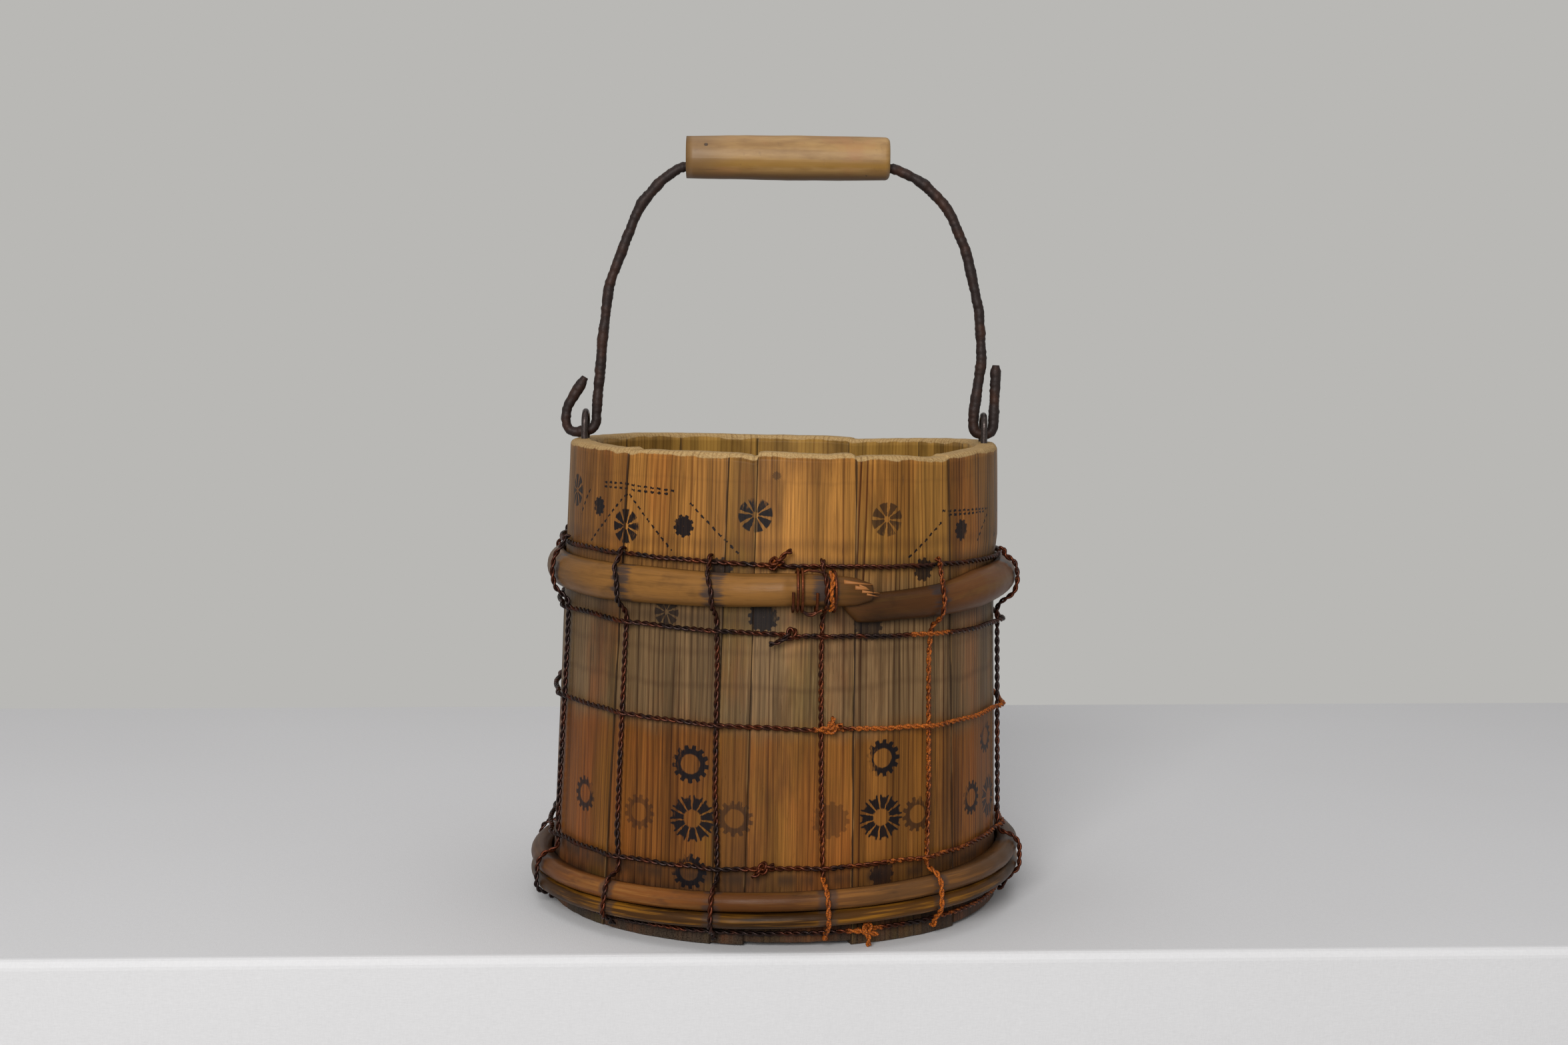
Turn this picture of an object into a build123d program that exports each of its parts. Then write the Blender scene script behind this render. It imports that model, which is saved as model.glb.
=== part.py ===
from build123d import *
import math
import os

# A wooden pail of fourteen staves. Two bent wood hoops and a net of twisted iron
# wire hold the staves together. An iron bail with a wooden grip swings in two iron
# eyes. Lengths are millimetres, +Z is up and the floor is the plane z = 0. Angles
# are degrees from the front of the pail, growing towards its right hand side.

# Body of staves
base_radius = 123.5
rim_radius = 116.0
rim_height = 248.0
base_wall = 14.0
rim_wall = 12.0
joint_gap = 0.16
rim_round = 3.4
foot_chamfer = 1.2
proud_step = 0.8
rim_wear = 4.8
foot_wear = 2.4
stave_angles = [-98, -71, -44, -14.3, -6.8, 18.1, 47.2, 75.5, 106, 132, 158, 188, 216, 239]
rim_wear_shares = [0.2, 0.0, 0.35, 0.55, 0.4, 0.7, 0.92, 0.85, 0.9, 1.0, 0.8, 0.55, 0.2, 0.12]
foot_wear_shares = [0.0, 0.0, 0.0, 0.3, 0.95, 0.0, 0.7, 0.75, 0.3, 0.0, 0.0, 0.5, 0.0, 0.25]
proud_shares = [0.35, 1.0, 0.45, 0.3, 0.55, 0.4, 0.75, 0.3, 0.6, 0.35, 0.8, 0.3, 0.6, 0.4]

# Bamboo pins between neighbouring staves
pin_radius = 2.0
pin_length = 15.0
pin_fit = 0.1
pin_end_room = 0.4
pin_level_shares = [0.30, 0.83]
pin_stagger = 7.0

# Floor of the pail, three planks in a groove round the inside of the staves
floor_level = 20.0
floor_thickness = 12.0
groove_depth = 4.0
floor_fit = 0.12
plank_gap = 0.16
plank_seam_shares = [-0.335, 0.37]
floor_pin_shares = [-0.53, 0.47]

# Twisted wire, drawn as a plain round wire of the same thickness
wire_radius = 1.45
wire_fit = 0.15
wire_bend = 6.0
run_share = 0.45
wire_past = 2 * wire_radius + wire_fit

# Twelve upright ties of the wire, and how each clears the hoops
tie_angles = [-72, -41.5, -14.5, 9.4, 40.5, 78, 109, 139, 169, 199, 229, 258]
tie_floor_room = 0.7
tie_hoop_room = 0.2
shoulder_share = 0.86
brow_share = 0.9
face_share = 0.2
seat_share = 1.6
flare_share = 0.38
crown_share = 0.22
upper_bevel_share = 0.40
lower_bevel_share = 0.34

# Five level rings of the wire, the top one first
ring_tilts = [1.5, 1.9, 1.6, -0.8, -0.5]
ring_knots = [-2.0, 0.8, 18.0, -3.0, 24.5]
ring_turns = [1, -1, 1, 1, 1]
ring_tail_shares = [1.0, -0.76, 0.41, 0.41, -0.30]
rings_over_ties = [False, True, True, True, False]
ring_tail_rise = 8.5
ring_tail_angle = 2.6
ring_step_angle = 8.2
hump_reach_angle = 5.4
hump_top_angle = 1.3
top_ring_room = 0.8
second_ring_room = 2.3
middle_ring_share = 0.6
hoop_ring_room = 1.9
foot_ring_room = 0.95

# Upper hoop, a peeled sapling whose two ends lap at the front. Its stations hold
# the way round, then the shares of its drop, height, thickness and lap lift.
pole_level = 180.0
pole_drop = 10.0
pole_height = 18.5
pole_thickness = 10.5
pole_fit = 0.3
lap_lift = 7.4
arc_share = math.sqrt(0.5)
pole_step_angle = 6.5
pole_station_shares = [
    (20.5, 0.15, 0.46, 0.30, 1.00),
    (17, 0.10, 0.73, 0.42, 0.96),
    (12, 0.05, 0.85, 0.60, 0.87),
    (6, 0.0, 0.875, 0.70, 0.80),
    (0, 0.0, 0.89, 0.80, 0.73),
    (-8, 0.08, 0.89, 0.89, 0.34),
    (-18, 0.12, 0.94, 0.87, 0.06),
    (-32, 0.10, 1.0, 0.84, 0.0),
    (-48, 0.15, 1.05, 0.82, 0.0),
    (-62, 0.12, 1.03, 0.80, 0.0),
    (-80, 0.08, 1.0, 0.80, 0.0),
    (-100, 0.06, 0.98, 0.80, 0.0),
    (-125, 0.08, 0.97, 0.82, 0.0),
    (-150, 0.12, 0.97, 0.86, 0.0),
    (-175, 0.18, 0.98, 0.90, 0.0),
    (-200, 0.24, 1.0, 0.94, 0.0),
    (-225, 0.29, 1.0, 0.97, 0.0),
    (-250, 0.33, 1.0, 1.0, 0.0),
    (-275, 0.36, 1.0, 1.0, 0.0),
    (-292, 0.41, 1.05, 1.0, 0.0),
    (-305, 0.55, 1.08, 1.0, 0.0),
    (-319, 0.85, 0.88, 0.90, 0.0),
    (-330, 0.93, 0.80, 0.75, 0.02),
    (-338, 1.0, 0.80, 0.55, 0.12),
    (-342, 0.97, 0.78, 0.46, 0.22),
    (-344.6, 0.70, 0.50, 0.38, 0.27),
    (-347, 0.10, 0.29, 0.30, 0.29),
    (-350, 0.04, 0.28, 0.28, 0.29),
    (-356, 0.03, 0.28, 0.27, 0.29),
    (-362, 0.03, 0.24, 0.20, 0.29),
]

# Lower hoop, two split strips one above the other
strip_thickness = 11.5
upper_strip_height = 11.0
lower_strip_height = 9.0
strip_gap = 0.3
strip_tilt = 1.6
strip_fit = 0.3
scarf_angle = 0.3

# Iron wire that lashes the two ends of the upper hoop
lash_radius = 0.75
lash_fit = 0.45
lash_room = 1.5
left_lash_angle = 2.3
left_lash_pitch = 0.98
left_lash_quarters = 10
right_lash_angle = 7.4
right_lash_pitch = 4.0
right_lash_quarters = 6

# Eyes for the bail, two iron staples driven into the rim
eye_inset = 7.5
eye_wire_radius = 1.8
eye_inside = 10.0
eye_stand = 15.5
eye_drive = 27.0
eye_fit = 0.1
eye_place = rim_radius - eye_inset

# Bail, an iron rod with a hook at each foot
bail_radius = 2.6
hinge_stand = 3.4
bail_rise = 143.1
bail_bend = 34.0
bail_exit_bend = 11.0
bail_exit_room = 2.6
left_hook_width = 17.2
left_hook_rise = 29.0
right_hook_width = 11.7
right_hook_rise = 37.8

# Corners of the bail: shares of the way from the grip to an eye and of its rise,
# then, for its hooks, shares of a hook's width and rise measured from the eye
left_arch_shares = [(0.214, 0.948), (0.443, 0.850), (0.586, 0.715), (0.756, 0.553), (0.820, 0.353)]
right_arch_shares = [(0.299, 0.952), (0.586, 0.850), (0.786, 0.690), (0.935, 0.467), (0.972, 0.285)]
left_hook_shares = [(0.349, 0.379), (0.326, 0.034), (-0.576, -0.066), (-0.651, 0.379), (-0.017, 1.0)]
right_hook_shares = [(-0.453, 0.291), (-0.453, 0.0), (0.470, 0.0), (0.547, 1.0)]

# Wooden grip, bored below its middle
grip_length = 109.6
grip_shift = 0.6
grip_left_radius = 11.3
grip_middle_radius = 11.9
grip_right_radius = 11.5
grip_end_round = 2.6
grip_above_bore = 5.1
bore_fit = 0.4

overrun = 5.0


hinge_height = rim_height + hinge_stand
bore_height = hinge_height + bail_rise
eye_top_height = rim_height + eye_stand
grip_left = grip_shift - grip_length / 2
grip_right = grip_shift + grip_length / 2


def outside(level):
    """Outside radius of the body at a height."""
    return base_radius - (base_radius - rim_radius) * level / rim_height


def inside(level):
    """Inside radius of the body at a height."""
    base_inside = base_radius - base_wall
    return base_inside - (base_inside - rim_radius + rim_wall) * level / rim_height


def place(angle, radius, level):
    """Point at an angle from the front, a radius and a height."""
    turn = math.radians(angle)
    return Vector(radius * math.sin(turn), -radius * math.cos(turn), level)


def upright_plane(angle):
    """Upright plane through the axis of the pail, its x axis pointing outwards."""
    turn = math.radians(angle)
    outwards = (math.sin(turn), -math.cos(turn), 0)
    across = (-math.cos(turn), -math.sin(turn), 0)
    return Plane(origin=(0, 0, 0), x_dir=outwards, z_dir=across)


def fall(angle, radius, tilt):
    """Height lost by a tilted ring at an angle round the pail."""
    return radius * math.sin(math.radians(angle)) * math.tan(math.radians(tilt))


foot_ring_level = tie_floor_room + wire_radius + wire_past + fall(90, base_radius, -ring_tilts[4])
strip_level = foot_ring_level + wire_radius + foot_ring_room
strip_level += fall(90, base_radius, strip_tilt) - fall(90, base_radius, -ring_tilts[4])
strips_top = strip_level + lower_strip_height + strip_gap + upper_strip_height
hoop_ring_level = strips_top + upper_strip_height * flare_share + wire_radius + hoop_ring_room
hoop_ring_level += fall(90, base_radius, strip_tilt) - fall(90, base_radius, -ring_tilts[3])
top_ring_level = pole_level + pole_height / 2 + wire_radius + top_ring_room
second_ring_level = pole_level - pole_drop - pole_height / 2 - wire_radius - second_ring_room
middle_ring_level = hoop_ring_level + (second_ring_level - hoop_ring_level) * middle_ring_share
ring_levels = [
    top_ring_level,
    second_ring_level,
    middle_ring_level,
    hoop_ring_level,
    foot_ring_level,
]


def bent_path(points, limits):
    """Straight runs joined by tangent arcs, each as large as its runs and limit allow."""
    radii = []
    for before, corner, after, limit in zip(points, points[1:], points[2:], limits):
        run_in = corner - before
        run_out = after - corner
        half_turn = math.radians(run_in.get_angle(run_out)) / 2
        shorter = min(run_in.length, run_out.length)
        radii.append(min(limit, run_share * shorter / math.tan(half_turn)))
    return FilletPolyline(*points, radius=radii)


def round_wire(path, radius):
    """Solid round wire along a path."""
    start = Plane(origin=path @ 0, z_dir=path % 0)
    return sweep(start * Circle(radius), path=path)


def save(name, shape):
    """Writes one piece, or one group of alike pieces, to its own file."""
    shape.label = name
    export_step(shape, f"parts/{name}.step")


def pin_place(index, level):
    """Middle of a pin in the joint at the start of a stave."""
    staggered = level + pin_stagger * (index % 2)
    middle = (outside(staggered) + inside(staggered)) / 2
    return place(stave_angles[index], middle, staggered)


def pin_solid(index, level, radius, length):
    """Round pin, or its hole, across a joint between staves."""
    turn = math.radians(stave_angles[index])
    across = (math.cos(turn), math.sin(turn), 0)
    return Plane(origin=pin_place(index, level), z_dir=across) * Cylinder(radius, length)


def pin_levels():
    """Heights of the pins between the staves."""
    return [rim_height * share for share in pin_level_shares]


def stave_pin_holes():
    """Holes for the pins between the staves."""
    holes = []
    for index in range(len(stave_angles)):
        for level in pin_levels():
            length = pin_length + 2 * pin_end_room
            holes.append(pin_solid(index, level, pin_radius + pin_fit, length))
    return holes


def make_stave_pins():
    """All the pins between the staves."""
    pins = []
    for index in range(len(stave_angles)):
        for level in pin_levels():
            pins.append(pin_solid(index, level, pin_radius, pin_length))
    return Compound(children=pins)


def groove_face():
    """Section of the groove that holds the floor of the pail."""
    low = floor_level - floor_fit
    high = floor_level + floor_thickness + floor_fit
    deep = inside(floor_level) + groove_depth
    return Polyline((0, low), (deep, low), (deep, high), (0, high), close=True)


def stave_section(index):
    """Upright section of a stave, across its thickness."""
    top = rim_height - rim_wear * rim_wear_shares[index]
    foot = foot_wear * foot_wear_shares[index]
    proud = proud_step * proud_shares[index]
    outline = Polyline(
        (inside(foot), foot),
        (outside(foot) + proud, foot),
        (outside(top) + proud, top),
        (inside(top), top),
        close=True,
    )
    section = make_face(outline)
    section = fillet(section.vertices().sort_by(Axis.Y)[2:], rim_round)
    section = chamfer(section.vertices().sort_by(Axis.Y)[:2], foot_chamfer)
    return section - make_face(groove_face())


def eye_leg_places():
    """Middles of the two legs of each eye."""
    half = eye_inside / 2 + eye_wire_radius
    return [(side * eye_place, across) for side in (-1, 1) for across in (-half, half)]


def eye_holes():
    """Holes in the rim that the legs of the eyes are driven into."""
    bottom = eye_top_height - eye_drive - eye_inside / 2 - 2 * eye_wire_radius - eye_fit
    holes = []
    for x, y in eye_leg_places():
        height = rim_height + overrun - bottom
        hole = Pos(x, y, bottom + height / 2) * Cylinder(eye_wire_radius + eye_fit, height)
        holes.append(hole)
    return holes


def make_stave(index, holes):
    """One stave, bored for its pins and, under an eye, for the legs of the eye."""
    start = stave_angles[index]
    following = stave_angles[(index + 1) % len(stave_angles)]
    width = (following - start) % 360
    gap_angle = math.degrees(joint_gap / rim_radius)
    section = Plane.XZ * stave_section(index)
    solid = revolve(section, axis=Axis.Z, revolution_arc=width - gap_angle)
    stave = Rot(Z=start - 90 + gap_angle / 2) * solid
    for hole in holes:
        stave = stave - hole
    return stave


def floor_plank(low, high, holes):
    """One plank of the floor between two upright planes across the pail."""
    radius = inside(floor_level) + groove_depth - floor_fit
    level = floor_level + floor_thickness / 2
    disc = Pos(0, 0, level) * Cylinder(radius, floor_thickness)
    width = high - low
    slab = Pos((low + high) / 2, 0, level) * Box(width, 2 * radius + overrun, floor_thickness + overrun)
    plank = disc & slab
    for hole in holes:
        plank = plank - hole
    return plank


def floor_pins(radius, length):
    """Pins, or their holes, that join the planks of the floor."""
    level = floor_level + floor_thickness / 2
    pins = []
    width = inside(floor_level)
    for seam_share in plank_seam_shares:
        for pin_share in floor_pin_shares:
            middle = Pos(width * seam_share, width * pin_share, level)
            pins.append(middle * Rot(Y=90) * Cylinder(radius, length))
    return pins


def make_floor():
    """The three planks of the floor."""
    holes = floor_pins(pin_radius + pin_fit, pin_length + 2 * pin_end_room)
    edge = inside(floor_level) + groove_depth + overrun
    seams = [inside(floor_level) * share for share in plank_seam_shares]
    edges = [-edge] + seams + [edge]
    planks = []
    for low, high in zip(edges, edges[1:]):
        planks.append(floor_plank(low + plank_gap / 2, high - plank_gap / 2, holes))
    return planks


def against_staves(level):
    """Radius of the middle of a wire that lies on the proudest staves."""
    return outside(level) + proud_step + wire_radius + wire_fit


def pole_back(level, half, lift):
    """Radius of the flat back of the upper hoop."""
    return outside(level - half) + proud_step + pole_fit + lift


def pole_at(way_round):
    """Level, half height, back radius and thickness of the upper hoop at an angle."""
    for near, far in zip(pole_station_shares, pole_station_shares[1:]):
        if far[0] <= way_round <= near[0]:
            part = (near[0] - way_round) / (near[0] - far[0])
            row = [a + (b - a) * part for a, b in zip(near, far)]
    level = pole_level - pole_drop * row[1]
    half = pole_height * row[2] / 2
    return level, half, pole_back(level, half, lap_lift * row[4]), pole_thickness * row[3]


def pole_outside_at(angle):
    """The upper hoop where it shows at an angle round the pail."""
    first = pole_station_shares[0][0]
    return pole_at(angle if angle <= first else angle - 360)


def pole_section(way_round):
    """Half round section of the upper hoop at an angle."""
    level, half, back, thick = pole_at(way_round)
    upper_middle = (back + thick * arc_share, level + half * arc_share)
    lower_middle = (back + thick * arc_share, level - half * arc_share)
    flat = Line((back, level - half), (back, level + half))
    upper = ThreePointArc((back, level + half), upper_middle, (back + thick, level))
    lower = ThreePointArc((back + thick, level), lower_middle, (back, level - half))
    return upright_plane(way_round) * make_face([flat, upper, lower])


def make_upper_hoop():
    """The bent sapling, from its outer end at the front round to its inner end."""
    ways = []
    for near, far in zip(pole_station_shares, pole_station_shares[1:]):
        steps = math.ceil((near[0] - far[0]) / pole_step_angle)
        for step in range(steps):
            ways.append(near[0] + (far[0] - near[0]) * step / steps)
    ways.append(pole_station_shares[-1][0])
    return loft([pole_section(way) for way in ways], ruled=True)


def strip_levels(upper):
    """Lower and upper edge of one strip of the lower hoop, at the front."""
    if upper:
        return strips_top - upper_strip_height, strips_top
    return strip_level, strip_level + lower_strip_height


def strip_back(upper):
    """Radius of the flat back of one strip of the lower hoop."""
    lowest = strip_levels(upper)[0] - fall(90, base_radius, strip_tilt)
    return outside(lowest) + proud_step + strip_fit


def make_strip(upper):
    """One strip of the lower hoop, round nosed, its scarf at the back."""
    low, high = strip_levels(upper)
    back = strip_back(upper)
    nose = (high - low) / 2
    flat = back + strip_thickness - nose
    lower = Line((back, low), (flat, low))
    front = ThreePointArc((flat, low), (flat + nose, low + nose), (flat, high))
    upper_edge = Line((flat, high), (back, high))
    rear = Line((back, high), (back, low))
    section = Plane.XZ * make_face([lower, front, upper_edge, rear])
    ring = revolve(section, axis=Axis.Z, revolution_arc=360 - scarf_angle)
    scarf_at_back = Rot(Z=90 + scarf_angle / 2) * ring
    middle = low + nose
    return Pos(0, 0, middle) * Rot(Y=-strip_tilt) * Pos(0, 0, -middle) * scarf_at_back


def ring_point(index, angle, raise_by):
    """Corner of a ring wire, raised off the staves by a length."""
    level = ring_levels[index]
    level = level - fall(angle, outside(level), ring_tilts[index])
    half_step = math.radians(ring_step_angle) / 2
    radius = against_staves(level) / math.cos(half_step) + raise_by
    return place(angle, radius, level)


def ring_corner_angles(index):
    """Angles of the corners of a ring and how far each is raised, once round."""
    corners = []
    for tie, following in zip(tie_angles, tie_angles[1:] + [tie_angles[0] + 360]):
        if rings_over_ties[index]:
            corners.append((tie - hump_top_angle, wire_past))
            corners.append((tie + hump_top_angle, wire_past))
            low = tie + hump_reach_angle
            high = following - hump_reach_angle
        else:
            low = tie
            high = following
        steps = math.ceil((high - low) / ring_step_angle)
        count = steps + 1 if rings_over_ties[index] else steps
        for step in range(count):
            corners.append((low + (high - low) * step / steps, 0))
    return corners


def make_ring(index):
    """A ring of wire, from one cut end round over itself to its turned up tail."""
    knot = ring_knots[index]
    way = ring_turns[index]
    knot_room = hump_reach_angle + hump_top_angle
    inner = []
    for angle, height in ring_corner_angles(index):
        around = (way * (angle - knot)) % 360
        if hump_top_angle < around < 360 - knot_room:
            inner.append((around, height))
    points = [ring_point(index, knot, 0)]
    for around, height in sorted(inner):
        points.append(ring_point(index, knot + way * around, height))
    points.append(ring_point(index, knot - way * hump_reach_angle, 0))
    points.append(ring_point(index, knot - way * hump_top_angle, wire_past))
    tail = ring_point(index, knot + way * ring_tail_angle, wire_past)
    points.append(tail + Vector(0, 0, ring_tail_rise * ring_tail_shares[index]))
    path = bent_path(points, [base_radius] * len(points))
    return round_wire(path, wire_radius)


def tie_route(angle):
    """Corners of an upright tie, as radius and height, from the top down."""
    clear = wire_radius + wire_fit
    top = top_ring_level - fall(angle, outside(top_ring_level), ring_tilts[0])
    level, half, back, thick = pole_outside_at(angle)
    ahead = back + thick + clear
    shoulder = back + thick * shoulder_share + clear
    seat = level - half * seat_share
    hoop_rise = fall(angle, outside(strip_level), strip_tilt)
    hoop_low = strip_level + hoop_rise
    hoop_high = strips_top + hoop_rise
    upper_front = strip_back(True) + strip_thickness + clear + tie_hoop_room
    lower_front = strip_back(False) + strip_thickness + clear + tie_hoop_room
    upper_crown = upper_strip_height * crown_share
    lower_crown = lower_strip_height * crown_share
    flare = hoop_high + upper_strip_height * flare_share
    bottom = foot_ring_level - fall(angle, outside(foot_ring_level), ring_tilts[4])
    return [
        (against_staves(top + wire_past), top + wire_past),
        (against_staves(top) + wire_past, top + wire_past),
        (against_staves(top) + wire_past, top - wire_fit),
        (shoulder, level + half * brow_share),
        (ahead, level + half * face_share),
        (ahead, level - half * face_share),
        (shoulder, level - half * brow_share),
        (against_staves(seat), seat),
        (against_staves(flare), flare),
        (upper_front - strip_thickness * upper_bevel_share, hoop_high + upper_crown),
        (upper_front, hoop_high - upper_crown),
        (lower_front, hoop_low + lower_crown),
        (lower_front - strip_thickness * lower_bevel_share, hoop_low - lower_crown),
        (against_staves(bottom) + wire_past, bottom + wire_fit),
        (against_staves(bottom) + wire_past, bottom - wire_past),
        (against_staves(bottom - wire_past), bottom - wire_past),
    ]


def make_tie(angle):
    """An upright tie, hooked over the top ring and under the bottom one."""
    points = [place(angle, radius, level) for radius, level in tie_route(angle)]
    return round_wire(bent_path(points, [wire_bend] * len(points)), wire_radius)


def lash_nodes(start, pitch, quarters):
    """Quarter points of a lashing and its directions there, front first."""
    level, half, back, thick = pole_outside_at(start + pitch)
    tongue = pole_at(start + pitch - 360)[2]
    inner = tongue - lash_radius - lash_fit
    outer = back + thick + lash_radius + lash_fit
    middle = (inner + outer) / 2
    deep = (outer - inner) / 2
    tall = half + lash_radius + lash_room
    nodes = []
    for quarter in range(quarters + 1):
        phase = quarter * math.pi / 2
        turns_behind = max(0, (quarter - 1) // 4)
        part = min(2, (quarter - 1) % 4) / 2 if quarter > 0 else 0
        angle = start + pitch * (turns_behind + part)
        behind = 1 if (quarter - 1) % 4 == 1 else 0
        point = place(angle, middle + deep * math.cos(phase), level - tall * math.sin(phase))
        outwards = place(angle, 1, 0) * (-deep * math.sin(phase))
        upwards = Vector(0, 0, -tall * math.cos(phase))
        sideways = place(angle + 90, 1, 0) * (behind * middle * math.radians(pitch) / 2)
        nodes.append((point, (outwards + upwards + sideways).normalized()))
    return nodes


def biarc(start, leave, end, arrive):
    """Two tangent arcs between two points with given directions."""
    span = end - start
    both = leave + arrive
    along = span.dot(both)
    open_share = 2 * (1 - leave.dot(arrive))
    reach = (math.sqrt(along * along + open_share * span.dot(span)) - along) / open_share
    first = start + leave * reach
    second = end - arrive * reach
    joint = (first + second) / 2
    return [
        TangentArc(start, joint, tangent=leave),
        TangentArc(joint, end, tangent=second - first),
    ]


def make_lashing(name, start, pitch, quarters):
    """A winding of thin wire round both ends of the upper hoop."""
    nodes = lash_nodes(start, pitch, quarters)
    edges = []
    for (point, leave), (following, arrive) in zip(nodes, nodes[1:]):
        edges.extend(biarc(point, leave, following, arrive))
    path = Wire([edge.edge() for edge in edges])
    per_turn = 96
    count = per_turn * quarters // 4
    points = [path @ (step / count) for step in range(count + 1)]
    least = path.length
    for early in range(len(points)):
        for late in range(early + per_turn // 2, len(points)):
            least = min(least, (points[early] - points[late]).length)
    tightest = min(edge.edge().radius for edge in edges)
    print(name, "least gap to itself", round(least - 2 * lash_radius, 2), "tightest bend", round(tightest, 2))
    return round_wire(path, lash_radius)


def make_eye(side):
    """One eye, a staple whose legs stand in the rim."""
    half = eye_inside / 2 + eye_wire_radius
    shoulder = eye_top_height - eye_wire_radius - half
    foot = shoulder - eye_drive
    x = side * eye_place
    near = Line((x, -half, foot), (x, -half, shoulder))
    crown = ThreePointArc((x, -half, shoulder), (x, 0, shoulder + half), (x, half, shoulder))
    far = Line((x, half, shoulder), (x, half, foot))
    return round_wire(Wire([near.edge(), crown.edge(), far.edge()]), eye_wire_radius)


def hook_points(side, shares, width, rise):
    """Corners of a hook of the bail, measured from its eye and the hinge line."""
    middle = side * eye_place
    return [Vector(middle + width * x, 0, hinge_height + rise * z) for x, z in shares]


def arch_points(shares, leave, eye):
    """Corners of one shoulder of the bail, between the grip and an eye."""
    return [Vector(leave + (eye - leave) * x, 0, hinge_height + bail_rise * z) for x, z in shares]


def make_bail():
    """The bail, one iron rod from the tip of one hook to the tip of the other."""
    left_exit = Vector(grip_left - bail_exit_room, 0, bore_height)
    right_exit = Vector(grip_right + bail_exit_room, 0, bore_height)
    left = arch_points(left_arch_shares, left_exit.X, -eye_place)
    left += hook_points(-1, left_hook_shares, left_hook_width, left_hook_rise)
    right = arch_points(right_arch_shares, right_exit.X, eye_place)
    right += hook_points(1, right_hook_shares, right_hook_width, right_hook_rise)
    points = list(reversed(left)) + [left_exit, right_exit] + right
    limits = [bail_bend] * (len(left) - 1) + [bail_exit_bend] * 2 + [bail_bend] * len(right)
    return round_wire(bent_path(points, limits), bail_radius)


def make_grip():
    """The turned grip, bored below its middle for the bail."""
    centre = (grip_left + grip_right) / 2
    left_edge = Line((grip_left, 0), (grip_left, grip_left_radius))
    barrel = ThreePointArc(
        (grip_left, grip_left_radius),
        (centre, grip_middle_radius),
        (grip_right, grip_right_radius),
    )
    right_edge = Line((grip_right, grip_right_radius), (grip_right, 0))
    axis_edge = Line((grip_right, 0), (grip_left, 0))
    section = make_face([left_edge, barrel, right_edge, axis_edge])
    section = fillet(section.vertices().sort_by(Axis.Y)[2:], grip_end_round)
    solid = revolve(Plane.XZ * section, axis=Axis.X)
    grip = Pos(0, 0, bore_height + grip_above_bore) * solid
    length = grip_right - grip_left + overrun
    bore = Pos(centre, 0, bore_height) * Rot(Y=90) * Cylinder(bail_radius + bore_fit, length)
    return grip - bore


def main():
    """Makes every piece and writes each to its own file."""
    os.makedirs("parts", exist_ok=True)
    holes = stave_pin_holes() + eye_holes()
    for index in range(len(stave_angles)):
        save(f"stave_{index + 1:02d}", make_stave(index, holes))
    save("stave_pins", make_stave_pins())
    for name, plank in zip(("left", "middle", "right"), make_floor()):
        save(f"floor_plank_{name}", plank)
    save("floor_pins", Compound(children=floor_pins(pin_radius, pin_length)))
    save("upper_hoop", make_upper_hoop())
    save("lower_hoop_upper_strip", make_strip(True))
    save("lower_hoop_lower_strip", make_strip(False))
    for index in range(len(ring_levels)):
        save(f"ring_wire_{index + 1}", make_ring(index))
    for index, angle in enumerate(tie_angles):
        save(f"tie_wire_{index + 1:02d}", make_tie(angle))
    left = (left_lash_angle, left_lash_pitch, left_lash_quarters)
    right = (right_lash_angle, right_lash_pitch, right_lash_quarters)
    save("lap_lashing_left", make_lashing("left lashing", *left))
    save("lap_lashing_right", make_lashing("right lashing", *right))
    save("bail_eye_left", make_eye(-1))
    save("bail_eye_right", make_eye(1))
    save("bail", make_bail())
    save("grip", make_grip())


main()
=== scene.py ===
import math

import bmesh
import bpy
from mathutils import Matrix, Vector, noise


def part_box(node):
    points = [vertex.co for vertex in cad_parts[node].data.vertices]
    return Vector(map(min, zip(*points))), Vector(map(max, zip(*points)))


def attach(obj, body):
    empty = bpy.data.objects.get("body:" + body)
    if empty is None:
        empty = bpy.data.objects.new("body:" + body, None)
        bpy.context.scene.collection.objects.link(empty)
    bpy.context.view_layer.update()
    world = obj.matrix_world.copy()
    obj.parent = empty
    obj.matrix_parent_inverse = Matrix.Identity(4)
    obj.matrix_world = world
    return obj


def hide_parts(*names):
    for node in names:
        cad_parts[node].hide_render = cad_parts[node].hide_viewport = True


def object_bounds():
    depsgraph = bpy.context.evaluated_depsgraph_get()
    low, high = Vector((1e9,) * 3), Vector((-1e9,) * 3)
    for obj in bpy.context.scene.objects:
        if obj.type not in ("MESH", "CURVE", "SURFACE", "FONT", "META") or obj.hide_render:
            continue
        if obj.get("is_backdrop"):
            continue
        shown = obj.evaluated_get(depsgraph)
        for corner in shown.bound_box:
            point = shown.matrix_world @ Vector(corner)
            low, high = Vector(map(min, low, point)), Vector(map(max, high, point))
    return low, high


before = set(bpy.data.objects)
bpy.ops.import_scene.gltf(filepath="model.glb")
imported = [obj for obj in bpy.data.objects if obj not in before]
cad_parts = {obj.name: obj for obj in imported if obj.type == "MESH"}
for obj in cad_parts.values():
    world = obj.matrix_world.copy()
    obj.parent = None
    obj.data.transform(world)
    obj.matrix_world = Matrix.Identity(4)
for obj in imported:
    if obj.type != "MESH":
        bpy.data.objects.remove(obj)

# A worn wooden pail of staves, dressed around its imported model. Lengths are metres.
# Angles are degrees from the front of the pail, growing towards its right hand side.

cad_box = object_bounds()

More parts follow.
